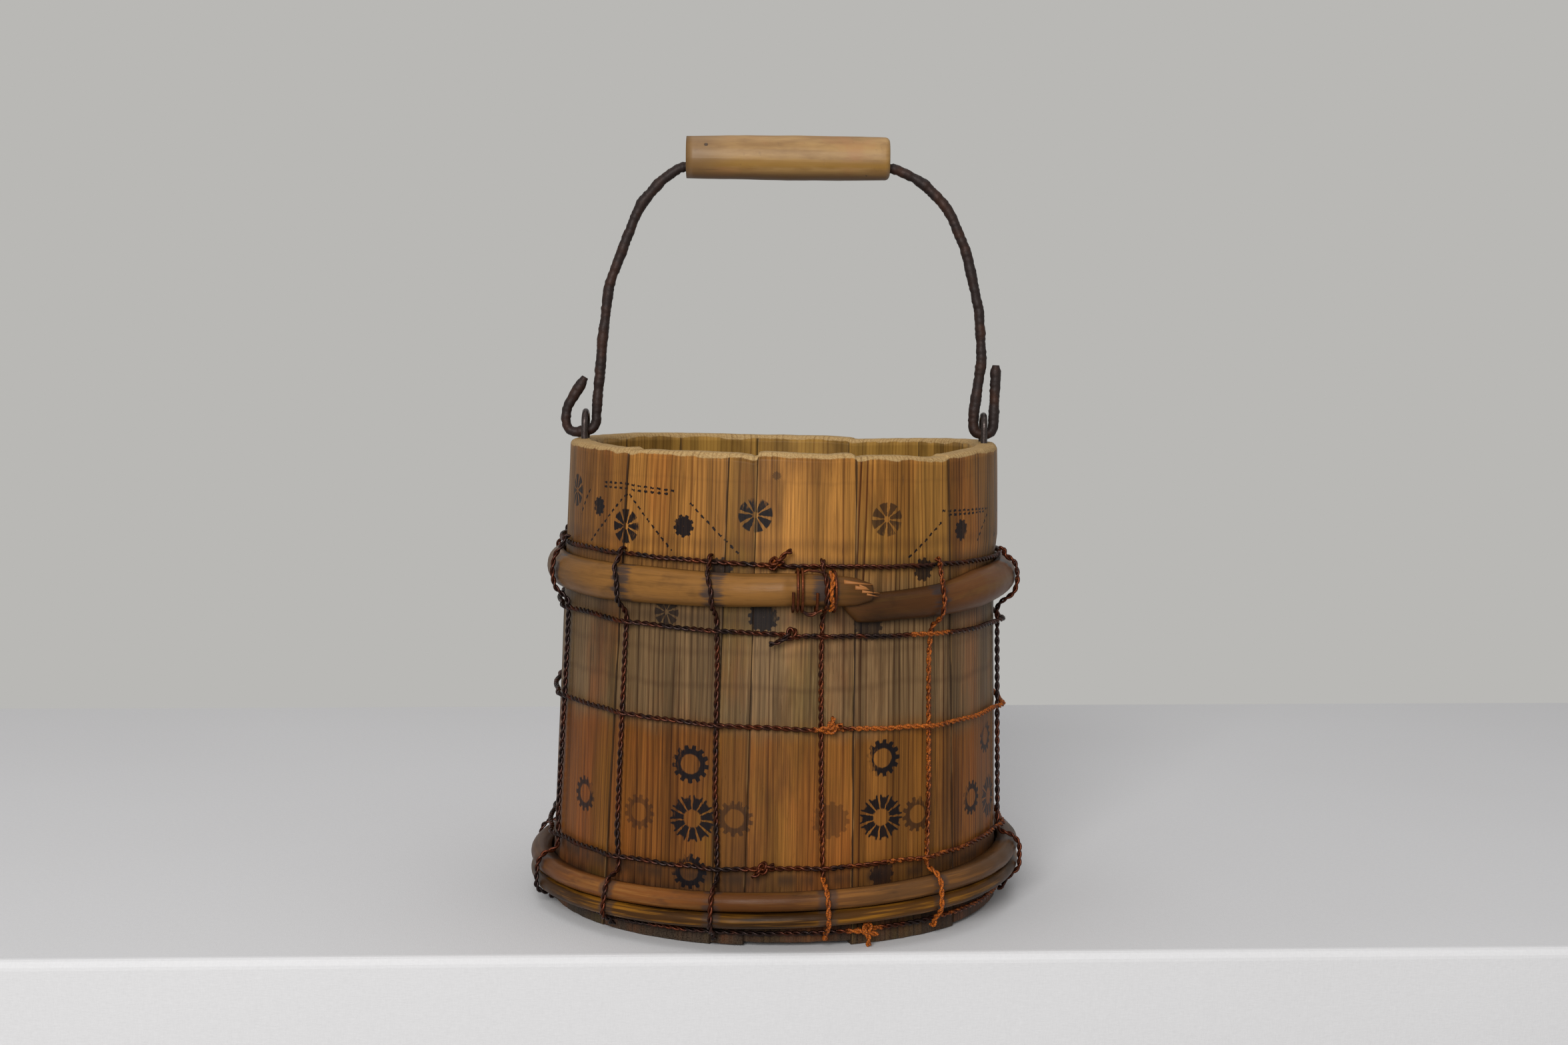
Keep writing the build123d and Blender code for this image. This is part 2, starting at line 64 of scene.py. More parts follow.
# Body of staves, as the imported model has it
rim_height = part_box("stave_02")[1].z
foot_radius = 0.1235
mouth_radius = 0.116
foot_wall = 0.014
mouth_wall = 0.012
proud_step = 0.0008
foot_wear = 0.0024
rim_round = 0.0028
foot_bevel = 0.0007
seam_round = 0.0003
seam_gap = 0.00012
stave_angles = [-98, -71, -44, -14.3, -6.8, 18.1, 47.2, 75.5, 106, 132, 158, 188, 216, 239]
seam_leans = [0.5, 1.6, 1.7, 0.9, 0.5, 0.0, -1.2, -1.6, 0.6, -0.5, 0.4, 0.7, -0.6, 0.3]
rim_drops = [
    (-98, 0.0006), (-71, 0.0002), (-57, 0.0008), (-47, 0.0012), (-42.7, 0.0004), (-42.0, 0.0026),
    (-39, 0.0013), (-30, 0.0014), (-22, 0.0010), (-12, 0.0015), (-8.5, 0.0022), (-6.7, 0.0036),
    (-6.1, 0.0006), (0, 0.0006), (4, 0.0012), (12, 0.0017), (17.7, 0.0011), (18.4, 0.0033),
    (23, 0.0024), (28, 0.0024), (36, 0.0032), (40, 0.0041), (45.7, 0.0043), (46.4, 0.0029),
    (52, 0.0025), (60, 0.0015), (75, 0.0007), (90, 0.0005), (106, 0.0006), (123, 0.0014),
    (136, 0.0024), (146, 0.0034), (158, 0.0043), (158.9, 0.0034), (166, 0.0030), (188, 0.0028),
    (196, 0.0023), (210, 0.0016), (226, 0.0008), (262, 0.0006),
]
foot_wear_shares = [0.0, 0.0, 0.0, 0.3, 0.95, 0.0, 0.7, 0.75, 0.3, 0.0, 0.0, 0.5, 0.0, 0.25]
proud_shares = [0.35, 1.0, 0.45, 0.3, 0.55, 0.4, 0.75, 0.3, 0.6, 0.35, 0.8, 0.3, 0.6, 0.4]
facet_share = 0.12
side_hollow = 0.0022
side_lean = 0.0087
rim_fade = 0.03
across_cut = 0.0024
level_cut = 0.0062
rim_cut = 0.0016

# Wear of the staves: nicks and chips of the rim, the uneven foot and faces
rim_nick = 0.00022
fine_nick = 0.00010
edge_chip = 0.0005
rim_settle = 0.0004
foot_unevenness = 0.0003
face_swell = 0.00022
face_ripple = 0.00012
face_settle = 0.0002

# Twisted wire: two strands wound round each other
strand_radius = 0.00072
wire_radius = 0.00145
wire_fit = 0.00015
wire_past = 2 * wire_radius + wire_fit
wire_bend = 0.006
twist_pitch = 0.0092
strand_step = 0.0009
straight_turn = 0.002
run_share = 0.45

# Upright ties and level rings of the wire
tie_angles = [-72, -41.5, -14.5, 9.4, 40.5, 78, 109, 139, 169, 199, 229, 258]
tie_sways = {
    0: [(0.006, 3.0), (0.02, 4.5), (0.04, 1.6), (0.08, 2.7), (0.11, 3.5), (0.16, 4.5), (0.18, 3.0)],
    1: [(0.006, 0.9), (0.02, 3.4), (0.04, 0.6), (0.08, 0.8), (0.14, 1.3), (0.16, 1.4), (0.18, 2.0),
        (0.19, 0)],
    2: [(0.006, 0.5), (0.02, 0.9), (0.04, 0.7), (0.08, -0.2), (0.14, -0.2), (0.16, -0.7),
        (0.18, -0.8), (0.19, -2.4)],
    3: [(0.006, 2.0), (0.02, 1.8), (0.04, 1.3), (0.08, 0.8), (0.14, 0.5), (0.16, 0.7), (0.19, 0.3)],
    4: [(0.006, -1.2), (0.02, -3.2), (0.04, -2.9), (0.08, -2.5), (0.14, -2.5), (0.16, -1.7),
        (0.18, -1.5), (0.19, 0)],
}
tie_rust = [0.05, 0.05, 0.10, 0.32, 0.62, 0.15, 0.5, 0.1, 0.7, 0.2, 0.5, 0.1]
tie_rest_levels = [0.142, 0.110, 0.080, 0.052]
shoulder_share = 0.86
brow_share = 0.9
face_share = 0.2
seat_share = 1.6
flare_share = 0.38
crown_share = 0.22
upper_bevel_share = 0.40
lower_bevel_share = 0.34
tie_hoop_room = 0.0002
ring_levels = [0.1915, 0.1572, 0.1107, 0.0403, 0.0080]
ring_tilts = [1.5, 1.9, 1.6, -0.8, -0.5]
ring_knots = [-2.0, 2.4, 11.9, -3.0, 20.9]
knot_leads = [1.3, 1.3, 3.4, 1.3, 1.3]
ring_turns = [1, -1, 1, 1, 1]
ring_tails = [0.0026, -0.0026, 0.0026, 0.0026, -0.0026]
knot_tails = [
    (0.0090, 0.0075), (-0.0105, -0.0040), (0.0012, 0.0066), (-0.0052, -0.0030), (0.0012, -0.0076),
]
knot_rust = [0.42, 0.22, 0.85, 0.35, 0.95]
rings_over_ties = [False, True, True, True, False]
ring_step_angle = 8.2
hump_reach_angle = 5.4
hump_top_angle = 1.3
ring_tail_angle = 2.6
ring_wave_step = 0.006
ring_wave = 0.0007
knot_bend = 0.0016
knot_step = 0.0003

# Wires at the lap of the upper hoop, between its lashings and beside them
cross_wire_start = 4.3
cross_wire_run = 4.6
cross_wire_steps = 24
side_strand_angle = 10.7
side_strand_steps = 59

# Upper hoop, a peeled sapling. Its stations hold the way round, then the shares
# of its drop, height, thickness and lap lift.
pole_level = 0.180
pole_drop = 0.010
pole_height = 0.0185
pole_thickness = 0.0105
pole_fit = 0.0003
lap_lift = 0.0074
pole_swell = 0.00030
pole_ripple = 0.00016
lashing_press = 0.0004
pole_station_shares = [
    (20.5, 0.15, 0.46, 0.30, 1.00),
    (17, 0.10, 0.73, 0.42, 0.96),
    (12, 0.05, 0.85, 0.60, 0.87),
    (6, 0.0, 0.875, 0.70, 0.80),
    (0, 0.0, 0.89, 0.80, 0.73),
    (-8, 0.08, 0.89, 0.89, 0.34),
    (-18, 0.12, 0.94, 0.87, 0.06),
    (-32, 0.10, 1.0, 0.84, 0.0),
    (-48, 0.15, 1.05, 0.82, 0.0),
    (-62, 0.12, 1.03, 0.80, 0.0),
    (-80, 0.08, 1.0, 0.80, 0.0),
    (-100, 0.06, 0.98, 0.80, 0.0),
    (-125, 0.08, 0.97, 0.82, 0.0),
    (-150, 0.12, 0.97, 0.86, 0.0),
    (-175, 0.18, 0.98, 0.90, 0.0),
    (-200, 0.24, 1.0, 0.94, 0.0),
    (-225, 0.29, 1.0, 0.97, 0.0),
    (-250, 0.33, 1.0, 1.0, 0.0),
    (-275, 0.36, 1.0, 1.0, 0.0),
    (-292, 0.41, 1.05, 1.0, 0.0),
    (-305, 0.55, 1.08, 1.0, 0.0),
    (-319, 0.85, 0.88, 0.90, 0.0),
    (-330, 0.93, 0.80, 0.75, 0.02),
    (-338, 1.0, 0.80, 0.55, 0.12),
    (-342, 0.97, 0.78, 0.46, 0.22),
    (-344.6, 0.70, 0.50, 0.38, 0.27),
    (-347, 0.10, 0.29, 0.30, 0.29),
    (-350, 0.04, 0.28, 0.28, 0.29),
    (-356, 0.03, 0.28, 0.27, 0.29),
    (-362, 0.03, 0.24, 0.20, 0.29),
]

# Lower hoop, two split strips one above the other
strip_thickness = 0.0110
upper_strip_height = 0.0098
lower_strip_height = 0.0077
strip_gap = 0.0003
strip_tilt = 1.85
strip_fit = 0.0003
strip_level = 0.0122
strips_top = strip_level + lower_strip_height + strip_gap + upper_strip_height
strip_wave = 0.0005
strip_ripple = 0.0003
strip_groove = 0.0005
strip_knot_angle = -9.5
strip_knot_reach = 3.2
strip_knot_rise = 0.0011

# Torn fibres at the broken end of the sapling: rise, length, width and start
torn_fibres = [
    (0.66, 0.0150, 0.0050, 13.6),
    (0.36, 0.0110, 0.0052, 16.0),
    (0.10, 0.0100, 0.0040, 17.6),
    (0.50, 0.0090, 0.0036, 17.0),
    (-0.12, 0.0070, 0.0030, 18.8),
]

# Eyes, bail and grip
eye_place = 0.1085
eye_wire_radius = 0.0018
eye_inside = 0.010
eye_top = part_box("bail_eye_left")[1].z
eye_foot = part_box("bail_eye_left")[0].z
bail_radius = 0.0026
hinge_height = 0.2514
bail_rise = 0.1431
bore_height = hinge_height + bail_rise
bail_bend = 0.034
bail_exit_bend = 0.011
bail_exit_room = 0.0026
bail_step = 0.0008
bail_lumps = 0.18
bail_pits = 0.16
left_hook_size = (0.0172, 0.029)
right_hook_size = (0.0117, 0.0378)
left_arch_shares = [(0.214, 0.948), (0.443, 0.850), (0.586, 0.715), (0.756, 0.553), (0.820, 0.353)]
right_arch_shares = [(0.299, 0.952), (0.586, 0.850), (0.786, 0.690), (0.935, 0.467), (0.972, 0.285)]
left_hook_shares = [(0.349, 0.379), (0.326, 0.034), (-0.576, -0.066), (-0.651, 0.379), (-0.017, 1.0)]
right_hook_shares = [(-0.453, 0.291), (-0.453, 0.0), (0.470, 0.0), (0.547, 1.0)]
grip_left, grip_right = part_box("grip")[0].x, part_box("grip")[1].x
grip_middle = (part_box("grip")[0].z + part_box("grip")[1].z) / 2
grip_radius_shares = [0.955, 0.985, 1.0, 0.99, 0.965]
grip_radius = 0.0119
grip_end_round = 0.0026
bore_radius = bail_radius + 0.0004
bore_lip = 0.0008
grip_swell = 0.00028
grip_ripple = 0.00010
seed_steps = (7.31, 3.17, 5.53)


def place(angle, radius, level):
    """Point at an angle from the front, a radius and a height."""
    turn = math.radians(angle)
    return Vector((radius * math.sin(turn), -radius * math.cos(turn), level))


def outside(level):
    """Outside radius of the staves at a height."""
    return foot_radius - (foot_radius - mouth_radius) * level / rim_height


def fall(angle, radius, tilt):
    """Height lost by a tilted ring at an angle round the pail."""
    return radius * math.sin(math.radians(angle)) * math.tan(math.radians(tilt))


def smooth(low, high, value):
    """0 below low, 1 above high and a soft step between."""
    part = min(1, max(0, (value - low) / (high - low)))
    return part * part * (3 - 2 * part)


def between(stations, value):
    """The value of a table at a place, straight between its rows."""
    for (near, first), (far, last) in zip(stations, stations[1:]):
        if value <= far:
            return first + (last - first) * min(1, max(0, (value - near) / (far - near)))
    return stations[-1][1]


def wander(seed, *parts):
    """Smooth noise between about -1 and 1 for a seed and up to three coordinates."""
    coordinates = list(parts) + [0, 0]
    return noise.noise(Vector(coordinates[:3]) + Vector([seed * part for part in seed_steps]))


# Shapes from paths and rings of points

def rounded(points, limits, step):
    """Straight runs joined by tangent arcs, as points along them."""
    path = [points[0]]
    for before, corner, after, limit in zip(points, points[1:], points[2:], limits):
        run_in = corner - before
        run_out = after - corner
        turn = run_in.angle(run_out)
        if turn < straight_turn:
            path.append(corner)
            continue
        radius = min(limit, run_share * min(run_in.length, run_out.length) / math.tan(turn / 2))
        setback = radius * math.tan(turn / 2)
        towards = (run_out.normalized() - run_in.normalized()).normalized()
        centre = corner + towards * radius / math.cos(turn / 2)
        spoke = corner - run_in.normalized() * setback - centre
        axis = run_in.cross(run_out).normalized()
        count = max(2, math.ceil(radius * turn / step))
        for index in range(count + 1):
            path.append(centre + Matrix.Rotation(turn * index / count, 3, axis) @ spoke)
    path.append(points[-1])
    return path


def evenly(path, step):
    """The same path with points at even steps."""
    lengths = [0]
    for near, far in zip(path, path[1:]):
        lengths.append(lengths[-1] + (far - near).length)
    count = max(2, round(lengths[-1] / step))
    result = []
    span = 0
    for index in range(count + 1):
        wanted = lengths[-1] * index / count
        while span < len(path) - 2 and lengths[span + 1] < wanted:
            span += 1
        part = (wanted - lengths[span]) / max(1e-9, lengths[span + 1] - lengths[span])
        result.append(path[span].lerp(path[span + 1], min(1, part)))
    return result


def side_vectors(path):
    """A pair of side directions at each point of a path, with no twist of their own."""
    sides = []
    ahead = (path[1] - path[0]).normalized()
    side = ahead.orthogonal().normalized()
    for index, point in enumerate(path):
        before = path[max(0, index - 1)]
        after = path[min(len(path) - 1, index + 1)]
        ahead = (after - before).normalized()
        side = (side - ahead * side.dot(ahead)).normalized()
        sides.append((side, ahead.cross(side)))
    return sides


def turn_of(point):
    """Angle of a point round the pail."""
    return math.degrees(math.atan2(point.x, -point.y))


def settled(point):
    """A point of the bucket, which leans a little and has a steeper right side."""
    angle = turn_of(point)
    share = smooth(42, 78, angle) * smooth(150, 112, angle) * smooth(0.200, 0.182, point.z)
    lean = Vector((side_lean * (rim_height - point.z), 0, 0))
    return point - lean - place(angle, side_hollow * share, 0)


def piece_from(bm, name, material, body, replaced=()):
    """Makes a shown piece of a bmesh, rides it on a body and hides the parts it replaces."""
    if body == "bucket":
        for vertex in bm.verts:
            vertex.co = settled(vertex.co)
    bmesh.ops.recalc_face_normals(bm, faces=bm.faces)
    mesh = bpy.data.meshes.new(name)
    bm.to_mesh(mesh)
    bm.free()
    mesh.shade_smooth()
    obj = bpy.data.objects.new(name, mesh)
    bpy.context.scene.collection.objects.link(obj)
    mesh.materials.append(material)
    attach(obj, body)
    if replaced:
        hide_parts(*replaced)
    return obj


def skin(rows, ring_closed=False, along=None):
    """A closed skin over rings of points, its ends filled or, if ring_closed, joined."""
    bm = bmesh.new()
    columns = len(rows[0])
    bmesh.ops.create_grid(bm, x_segments=columns, y_segments=len(rows) - 1, size=1)
    bm.verts.ensure_lookup_table()
    layer = bm.verts.layers.float_vector.new("along")
    for index, vertex in enumerate(bm.verts):
        row, column = divmod(index, columns + 1)
        vertex.co = rows[row][column % columns]
        if along:
            vertex[layer] = along(row, column % columns)
    bmesh.ops.remove_doubles(bm, verts=bm.verts, dist=1e-6)
    if not ring_closed:
        border = [edge for edge in bm.edges if edge.is_boundary]
        bmesh.ops.holes_fill(bm, edges=border, sides=0)
    return bm


def tube_rows(path, radius_at, columns):
    """Rings of points round a path. radius_at takes the number and place of a point."""
    rows = []
    for index, (point, (side, up)) in enumerate(zip(path, side_vectors(path))):
        ring = []
        for column in range(columns):
            turn = math.tau * column / columns
            away = side * math.cos(turn) + up * math.sin(turn)
            ring.append(point + away * radius_at(index, point + away * strand_radius))
        rows.append(ring)
    return rows


def strands(paths, radius):
    """Round strands along several paths, as one bmesh."""
    curve = bpy.data.curves.new("strands", "CURVE")
    curve.dimensions = "3D"
    curve.bevel_depth = radius
    curve.bevel_resolution = 1
    curve.use_fill_caps = True
    for path in paths:
        spline = curve.splines.new("POLY")
        spline.points.add(len(path) - 1)
        for point, position in zip(spline.points, path):
            point.co = (*position, 1)
    holder = bpy.data.objects.new("strands", curve)
    mesh = bpy.data.meshes.new_from_object(holder)
    bm = bmesh.new()
    bm.from_mesh(mesh)
    bpy.data.objects.remove(holder)
    bpy.data.curves.remove(curve)
    bpy.data.meshes.remove(mesh)
    return bm


def twined(path, seed):
    """Two strands wound round each other along a path."""
    path = evenly(path, strand_step)
    both = ([], [])
    turn = seed
    for index, (point, (side, up)) in enumerate(zip(path, side_vectors(path))):
        pitch = twist_pitch * (1 + 0.22 * wander(seed, index * 0.03))
        turn += math.tau * strand_step / pitch
        apart = strand_radius * (1.0 + 0.08 * wander(seed + 5, index * 0.11))
        for sign, strand in zip((1, -1), both):
            away = side * math.cos(turn) + up * math.sin(turn)
            strand.append(point + away * (sign * apart))
    return list(both)


# Shader helpers

def colour(*parts):
    """A colour given as its red, green and blue look on a screen, from 0 to 255."""
    return (*(((part / 255 + 0.055) / 1.055) ** 2.4 if part > 10 else part / 3294 for part in parts), 1)


def grey(shade):
    """A grey that multiplies another colour by a share."""
    return (shade, shade, shade, 1)


class Value:
    """A value in a node tree. A sum with it adds a math node."""

    def __init__(self, sheet, socket):
        self.sheet = sheet
        self.socket = socket

    def math(self, operation, *others):
        """A math node."""
        return self.sheet.add("ShaderNodeMath", enumerate((self, *others)), operation=operation)

    def vector(self, operation, *others):
        """A vector math node."""
        return self.sheet.add("ShaderNodeVectorMath", enumerate((self, *others)), operation=operation)

    def __add__(self, other):
        return self.math("ADD", other)

    def __sub__(self, other):
        return self.math("SUBTRACT", other)

    def __rsub__(self, other):
        return self.sheet.add("ShaderNodeMath", {0: other, 1: self}, operation="SUBTRACT")

    def __mul__(self, other):
        return self.math("MULTIPLY", other)

    def __truediv__(self, other):
        return self.math("DIVIDE", other)

    def __abs__(self):
        return self.math("ABSOLUTE")

    __radd__ = __add__
    __rmul__ = __mul__

    def scale(self, share):
        """A vector made longer by a share."""
        return self.sheet.add("ShaderNodeVectorMath", {0: self, "Scale": share}, operation="SCALE")

    def split(self):
        """The three parts of a vector."""
        return list(self.sheet.add("ShaderNodeSeparateXYZ", {0: self}).outputs().values())

    def step(self, low, high, bottom=0.0, top=1.0):
        """A soft step between two values."""
        inputs = {"Value": self, "From Min": low, "From Max": high, "To Min": bottom, "To Max": top}
        return self.sheet.add("ShaderNodeMapRange", inputs, interpolation_type="SMOOTHSTEP")

    def fade(self, low, high):
        """1 below a value, 0 above another and a soft step between."""
        return self.step(low, high, 1.0, 0.0)

    def held(self):
        """The same value, kept between 0 and 1."""
        self.socket.node.use_clamp = True
        return self

    def tint(self, tone):
        """This colour multiplied by another."""
        return self.sheet.blend(1.0, self, tone, "MULTIPLY")

    def under(self, mask, *tone):
        """This colour with another over it where a mask is."""
        return self.sheet.blend(mask, self, colour(*tone) if len(tone) == 3 else tone[0])

    def noise(self, scale, detail=3.0, roughness=0.55):
        """Noise at a place."""
        inputs = {"Vector": self, "Scale": scale, "Detail": detail, "Roughness": roughness}
        return self.sheet.add("ShaderNodeTexNoise", inputs)

    def drawn(self, scales, detail=3.0, roughness=0.55, offset=(0, 0, 0)):
        """Noise drawn out by a scale for each direction."""
        return self.vector("MULTIPLY", scales).vector("ADD", offset).noise(1.0, detail, roughness)

    def patches(self, seed, scale, low, high, squeeze=1.0):
        """The mask of the patches group at a place."""
        return self.sheet.group(patch_group, self, seed, scale, squeeze, low, high)["Mask"]

    def outputs(self):
        """All outputs of the same node, by name."""
        return {socket.name: Value(self.sheet, socket) for socket in self.socket.node.outputs}


class Sheet:
    """A node tree with short ways to add its nodes."""

    def __init__(self, tree):
        self.tree = tree

    def feed(self, socket, value):
        """Links a socket to a value of the tree, or sets it."""
        if isinstance(value, Value):
            self.tree.links.new(value.socket, socket)
        else:
            socket.default_value = value

    def add(self, kind, inputs=(), output=0, **settings):
        """One output of a new node with some inputs and settings."""
        node = self.tree.nodes.new(kind)
        for name, value in settings.items():
            setattr(node, name, value)
        for name, value in dict(inputs).items():
            self.feed(node.inputs[name], value)
        return Value(self, node.outputs[output])

    def blend(self, factor, first, second, mode="MIX"):
        """A mix of two colours."""
        inputs = {0: factor, 6: first, 7: second}
        return self.add("ShaderNodeMix", inputs, 2, data_type="RGBA", blend_type=mode)

    def join(self, *parts):
        """A vector of three values."""
        return self.add("ShaderNodeCombineXYZ", enumerate(parts))

    def group(self, group, *values):
        """The outputs of a node group with its inputs in their order."""
        return self.add("ShaderNodeGroup", enumerate(values), node_tree=group).outputs()

    def attribute(self, name, output="Vector"):
        """An attribute of the mesh."""
        return self.add("ShaderNodeAttribute", output=output, attribute_name=name)

    def object_place(self):
        """Place on the piece, in metres."""
        return self.add("ShaderNodeTexCoord", output="Object")


socket_kinds = {"Place": "Vector", "Skin": "Color", "Brown": "Color", "Colour": "Color"}


def make_group(name, labels, build):
    """A node group with named inputs. What build returns by name is its outputs."""
    tree = bpy.data.node_groups.new(name, "ShaderNodeTree")

    def add_sockets(names, side):
        for label in names:
            kind = "NodeSocket" + socket_kinds.get(label, "Float")
            tree.interface.new_socket(name=label, in_out=side, socket_type=kind)

    add_sockets(labels, "INPUT")
    sheet = Sheet(tree)
    entry = sheet.add("NodeGroupInput").outputs()
    made = build(sheet, *(entry[label] for label in labels))
    add_sockets(made, "OUTPUT")
    way_out = tree.nodes.new("NodeGroupOutput")
    for label, value in made.items():
        sheet.feed(way_out.inputs[label], value)
    return tree


def wood_grain(sheet, where, seed, spacing):
    """Growth lines, fibres and broad streaks along the third axis of a place in the wood."""
    shift = sheet.join(seed, seed * 1.7, seed)
    bend = where.drawn((30, 30, 2.4), 2.0, offset=shift)
    wave = where.drawn((420, 420, 9), 2.0, offset=shift)
    bent = (where.split()[0] + bend * 0.018 + wave * 0.0013 + seed) / spacing
    phase = bent.math("FRACT")
    ring_number = sheet.join(bent.math("FLOOR"), seed, 0.0)
    depth = sheet.add("ShaderNodeTexWhiteNoise", {"Vector": ring_number}, "Value")
    worn = where.drawn((160, 160, 7), 2.0, offset=shift)
    amount = worn.step(0.25, 0.62, 0.30, 1.0) * depth.step(0.0, 1.0, 0.35, 1.0)
    lines = phase.step(0.46, 0.86) * phase.fade(0.91, 1.0) * amount
    fibre = where.drawn((1300, 1300, 22), 4.0, 0.65, shift)
    streak = where.drawn((120, 120, 4), offset=shift)
    return {"Lines": lines, "Fibre": fibre, "Streak": streak, "Height": lines * 0.6 + fibre * 0.5}


def soft_patches(sheet, where, seed, scale, squeeze, low, high):
    """Soft edged patches, longer along the third axis where they are squeezed less than 1."""
    x, y, z = where.split()
    scaled = sheet.join(x, y, z * squeeze).scale(scale)
    spots = scaled.vector("ADD", sheet.join(seed, seed, seed)).noise(1.0, 5.0, 0.62)
    return {"Mask": spots.step(low, high)}


def round_stamp(sheet, where, across, level, radius, turn, *kind_and_shares):
    """A round stamp: a disc or ring with teeth, cut into petals, printed unevenly."""
    teeth, tooth_depth, hole, petals, cut, fade_across, fade_level, strength = kind_and_shares
    parts = where.split()
    shake = (where.drawn((520, 520, 380), 2.0) - 0.5) * 0.0012
    x = (parts[0] - across + shake) / radius
    z = (parts[2] - level - shake) / radius
    reach = (x * x + z * z).math("SQRT")
    turned = z.math("ARCTAN2", x) + turn
    tooth = (turned * teeth).math("COSINE")
    rim = 1.0 - tooth.fade(-0.5, 0.3) * tooth_depth
    ring = (rim - reach).step(-0.03, 0.05) * (reach - hole).step(-0.03, 0.05)
    ray = abs((turned * petals).math("SINE"))
    worn = where.drawn((900, 900, 240))
    print_share = x * fade_across + z * fade_level + 1.0 + worn * 0.9
    printed = (ray - cut).step(-0.07, 0.07) * print_share.step(0.98, 1.28)
    return {"Mask": (ring * printed * strength).held()}


def burnt_dashes(sheet, where, start_across, start_level, run_across, run_up, length, pitch, width):
    """A row of short burnt dashes between two places."""
    parts = where.split()
    x = parts[0] - start_across
    z = parts[2] - start_level
    along = x * run_across + z * run_up
    off = abs(z * run_across - x * run_up)
    worn = where.drawn((700, 700, 700), 1.0)
    narrow = (off / (width * worn.step(0.3, 0.7, 0.35, 1.25))).fade(0.75, 1.15)
    dash = abs((along / pitch).math("FRACT") - 0.5).fade(0.24, 0.31)
    inside = along.math("GREATER_THAN", 0.0) * along.math("LESS_THAN", length)
    return {"Mask": narrow * dash * inside}


def rusted_iron(sheet, where, scale, rust, gloss, skin_tone, brown_tone):
    """Old iron: dark skin, brown and orange rust, and how rough and metallic each is."""
    scaled = where.scale(scale)
    spots = scaled.noise(1.0, 5.0, 0.65)
    clouds = scaled.noise(0.22)
    fine = scaled.noise(4.5, 4.0, 0.7)
    base = sheet.blend((clouds + rust * 0.5).step(0.40, 0.74), skin_tone, brown_tone)
    base = base.under(fine.step(0.40, 0.62) * 0.55, base.tint(colour(150, 136, 130)))
    orange = (spots + rust * 0.50).step(0.72, 0.96)
    flakes = sheet.blend(fine.step(0.38, 0.62), colour(58, 24, 6), colour(188, 98, 18))
    return {
        "Colour": sheet.blend(orange, base, flakes),
        "Roughness": (orange * 0.36 + fine * 0.22 + 0.20 + (1.0 - gloss) * 0.35).held(),
        "Metal": orange.step(0.0, 0.8, 0.80, 0.0) * gloss,
        "Height": spots * 0.6 + fine * 0.4,
    }


grain_group = make_group("wood_grain", ("Place", "Seed", "Spacing"), wood_grain)
patch_labels = ("Place", "Seed", "Scale", "Squeeze", "Low", "High")
patch_group = make_group("patches", patch_labels, soft_patches)
stamp_labels = (
    "Place", "Across", "Level", "Radius", "Turn", "Teeth", "Tooth depth", "Hole", "Petals", "Cut",
    "Fade across", "Fade level", "Strength",
)
stamp_group = make_group("stamp", stamp_labels, round_stamp)
dash_labels = (
    "Place", "Start across", "Start level", "Along across", "Along level", "Length", "Pitch", "Width",
)
dash_group = make_group("dashes", dash_labels, burnt_dashes)
rust_labels = ("Place", "Scale", "Rust", "Gloss", "Skin", "Brown")
rust_group = make_group("rusted_iron", rust_labels, rusted_iron)


def new_look(name):
    """A new material and its sheet."""
    material = bpy.data.materials.new(name)
    material.use_nodes = True
    return material, Sheet(material.node_tree)


def finish_look(material, sheet, base, rough, relief=None, gloss=None):
    """Feeds a material's shader. A relief is its height, depth and strength."""
    shader = material.node_tree.nodes["Principled BSDF"]
    sheet.feed(shader.inputs["Base Color"], base)
    sheet.feed(shader.inputs["Roughness"], rough)
    if gloss is not None:
        shader.inputs["Specular IOR Level"].default_value = gloss
    if relief:
        inputs = dict(zip(("Height", "Distance", "Strength"), relief))
        sheet.feed(shader.inputs["Normal"], sheet.add("ShaderNodeBump", inputs))
    return shader


# Kinds of stamp: teeth, depth of the teeth, hole, petals and the cut between petals
petal_stamp = (8, 0.0, 0.17, 4, 0.42)
wheel_stamp = (11, 0.12, 0.36, 5.5, 0.34)
cog_stamp = (13, 0.20, 0.50, 7, -0.1)
flower_stamp = (9, 0.18, 0.0, 4, -0.1)
disc_stamp = (12, 0.16, 0.0, 4, -0.1)

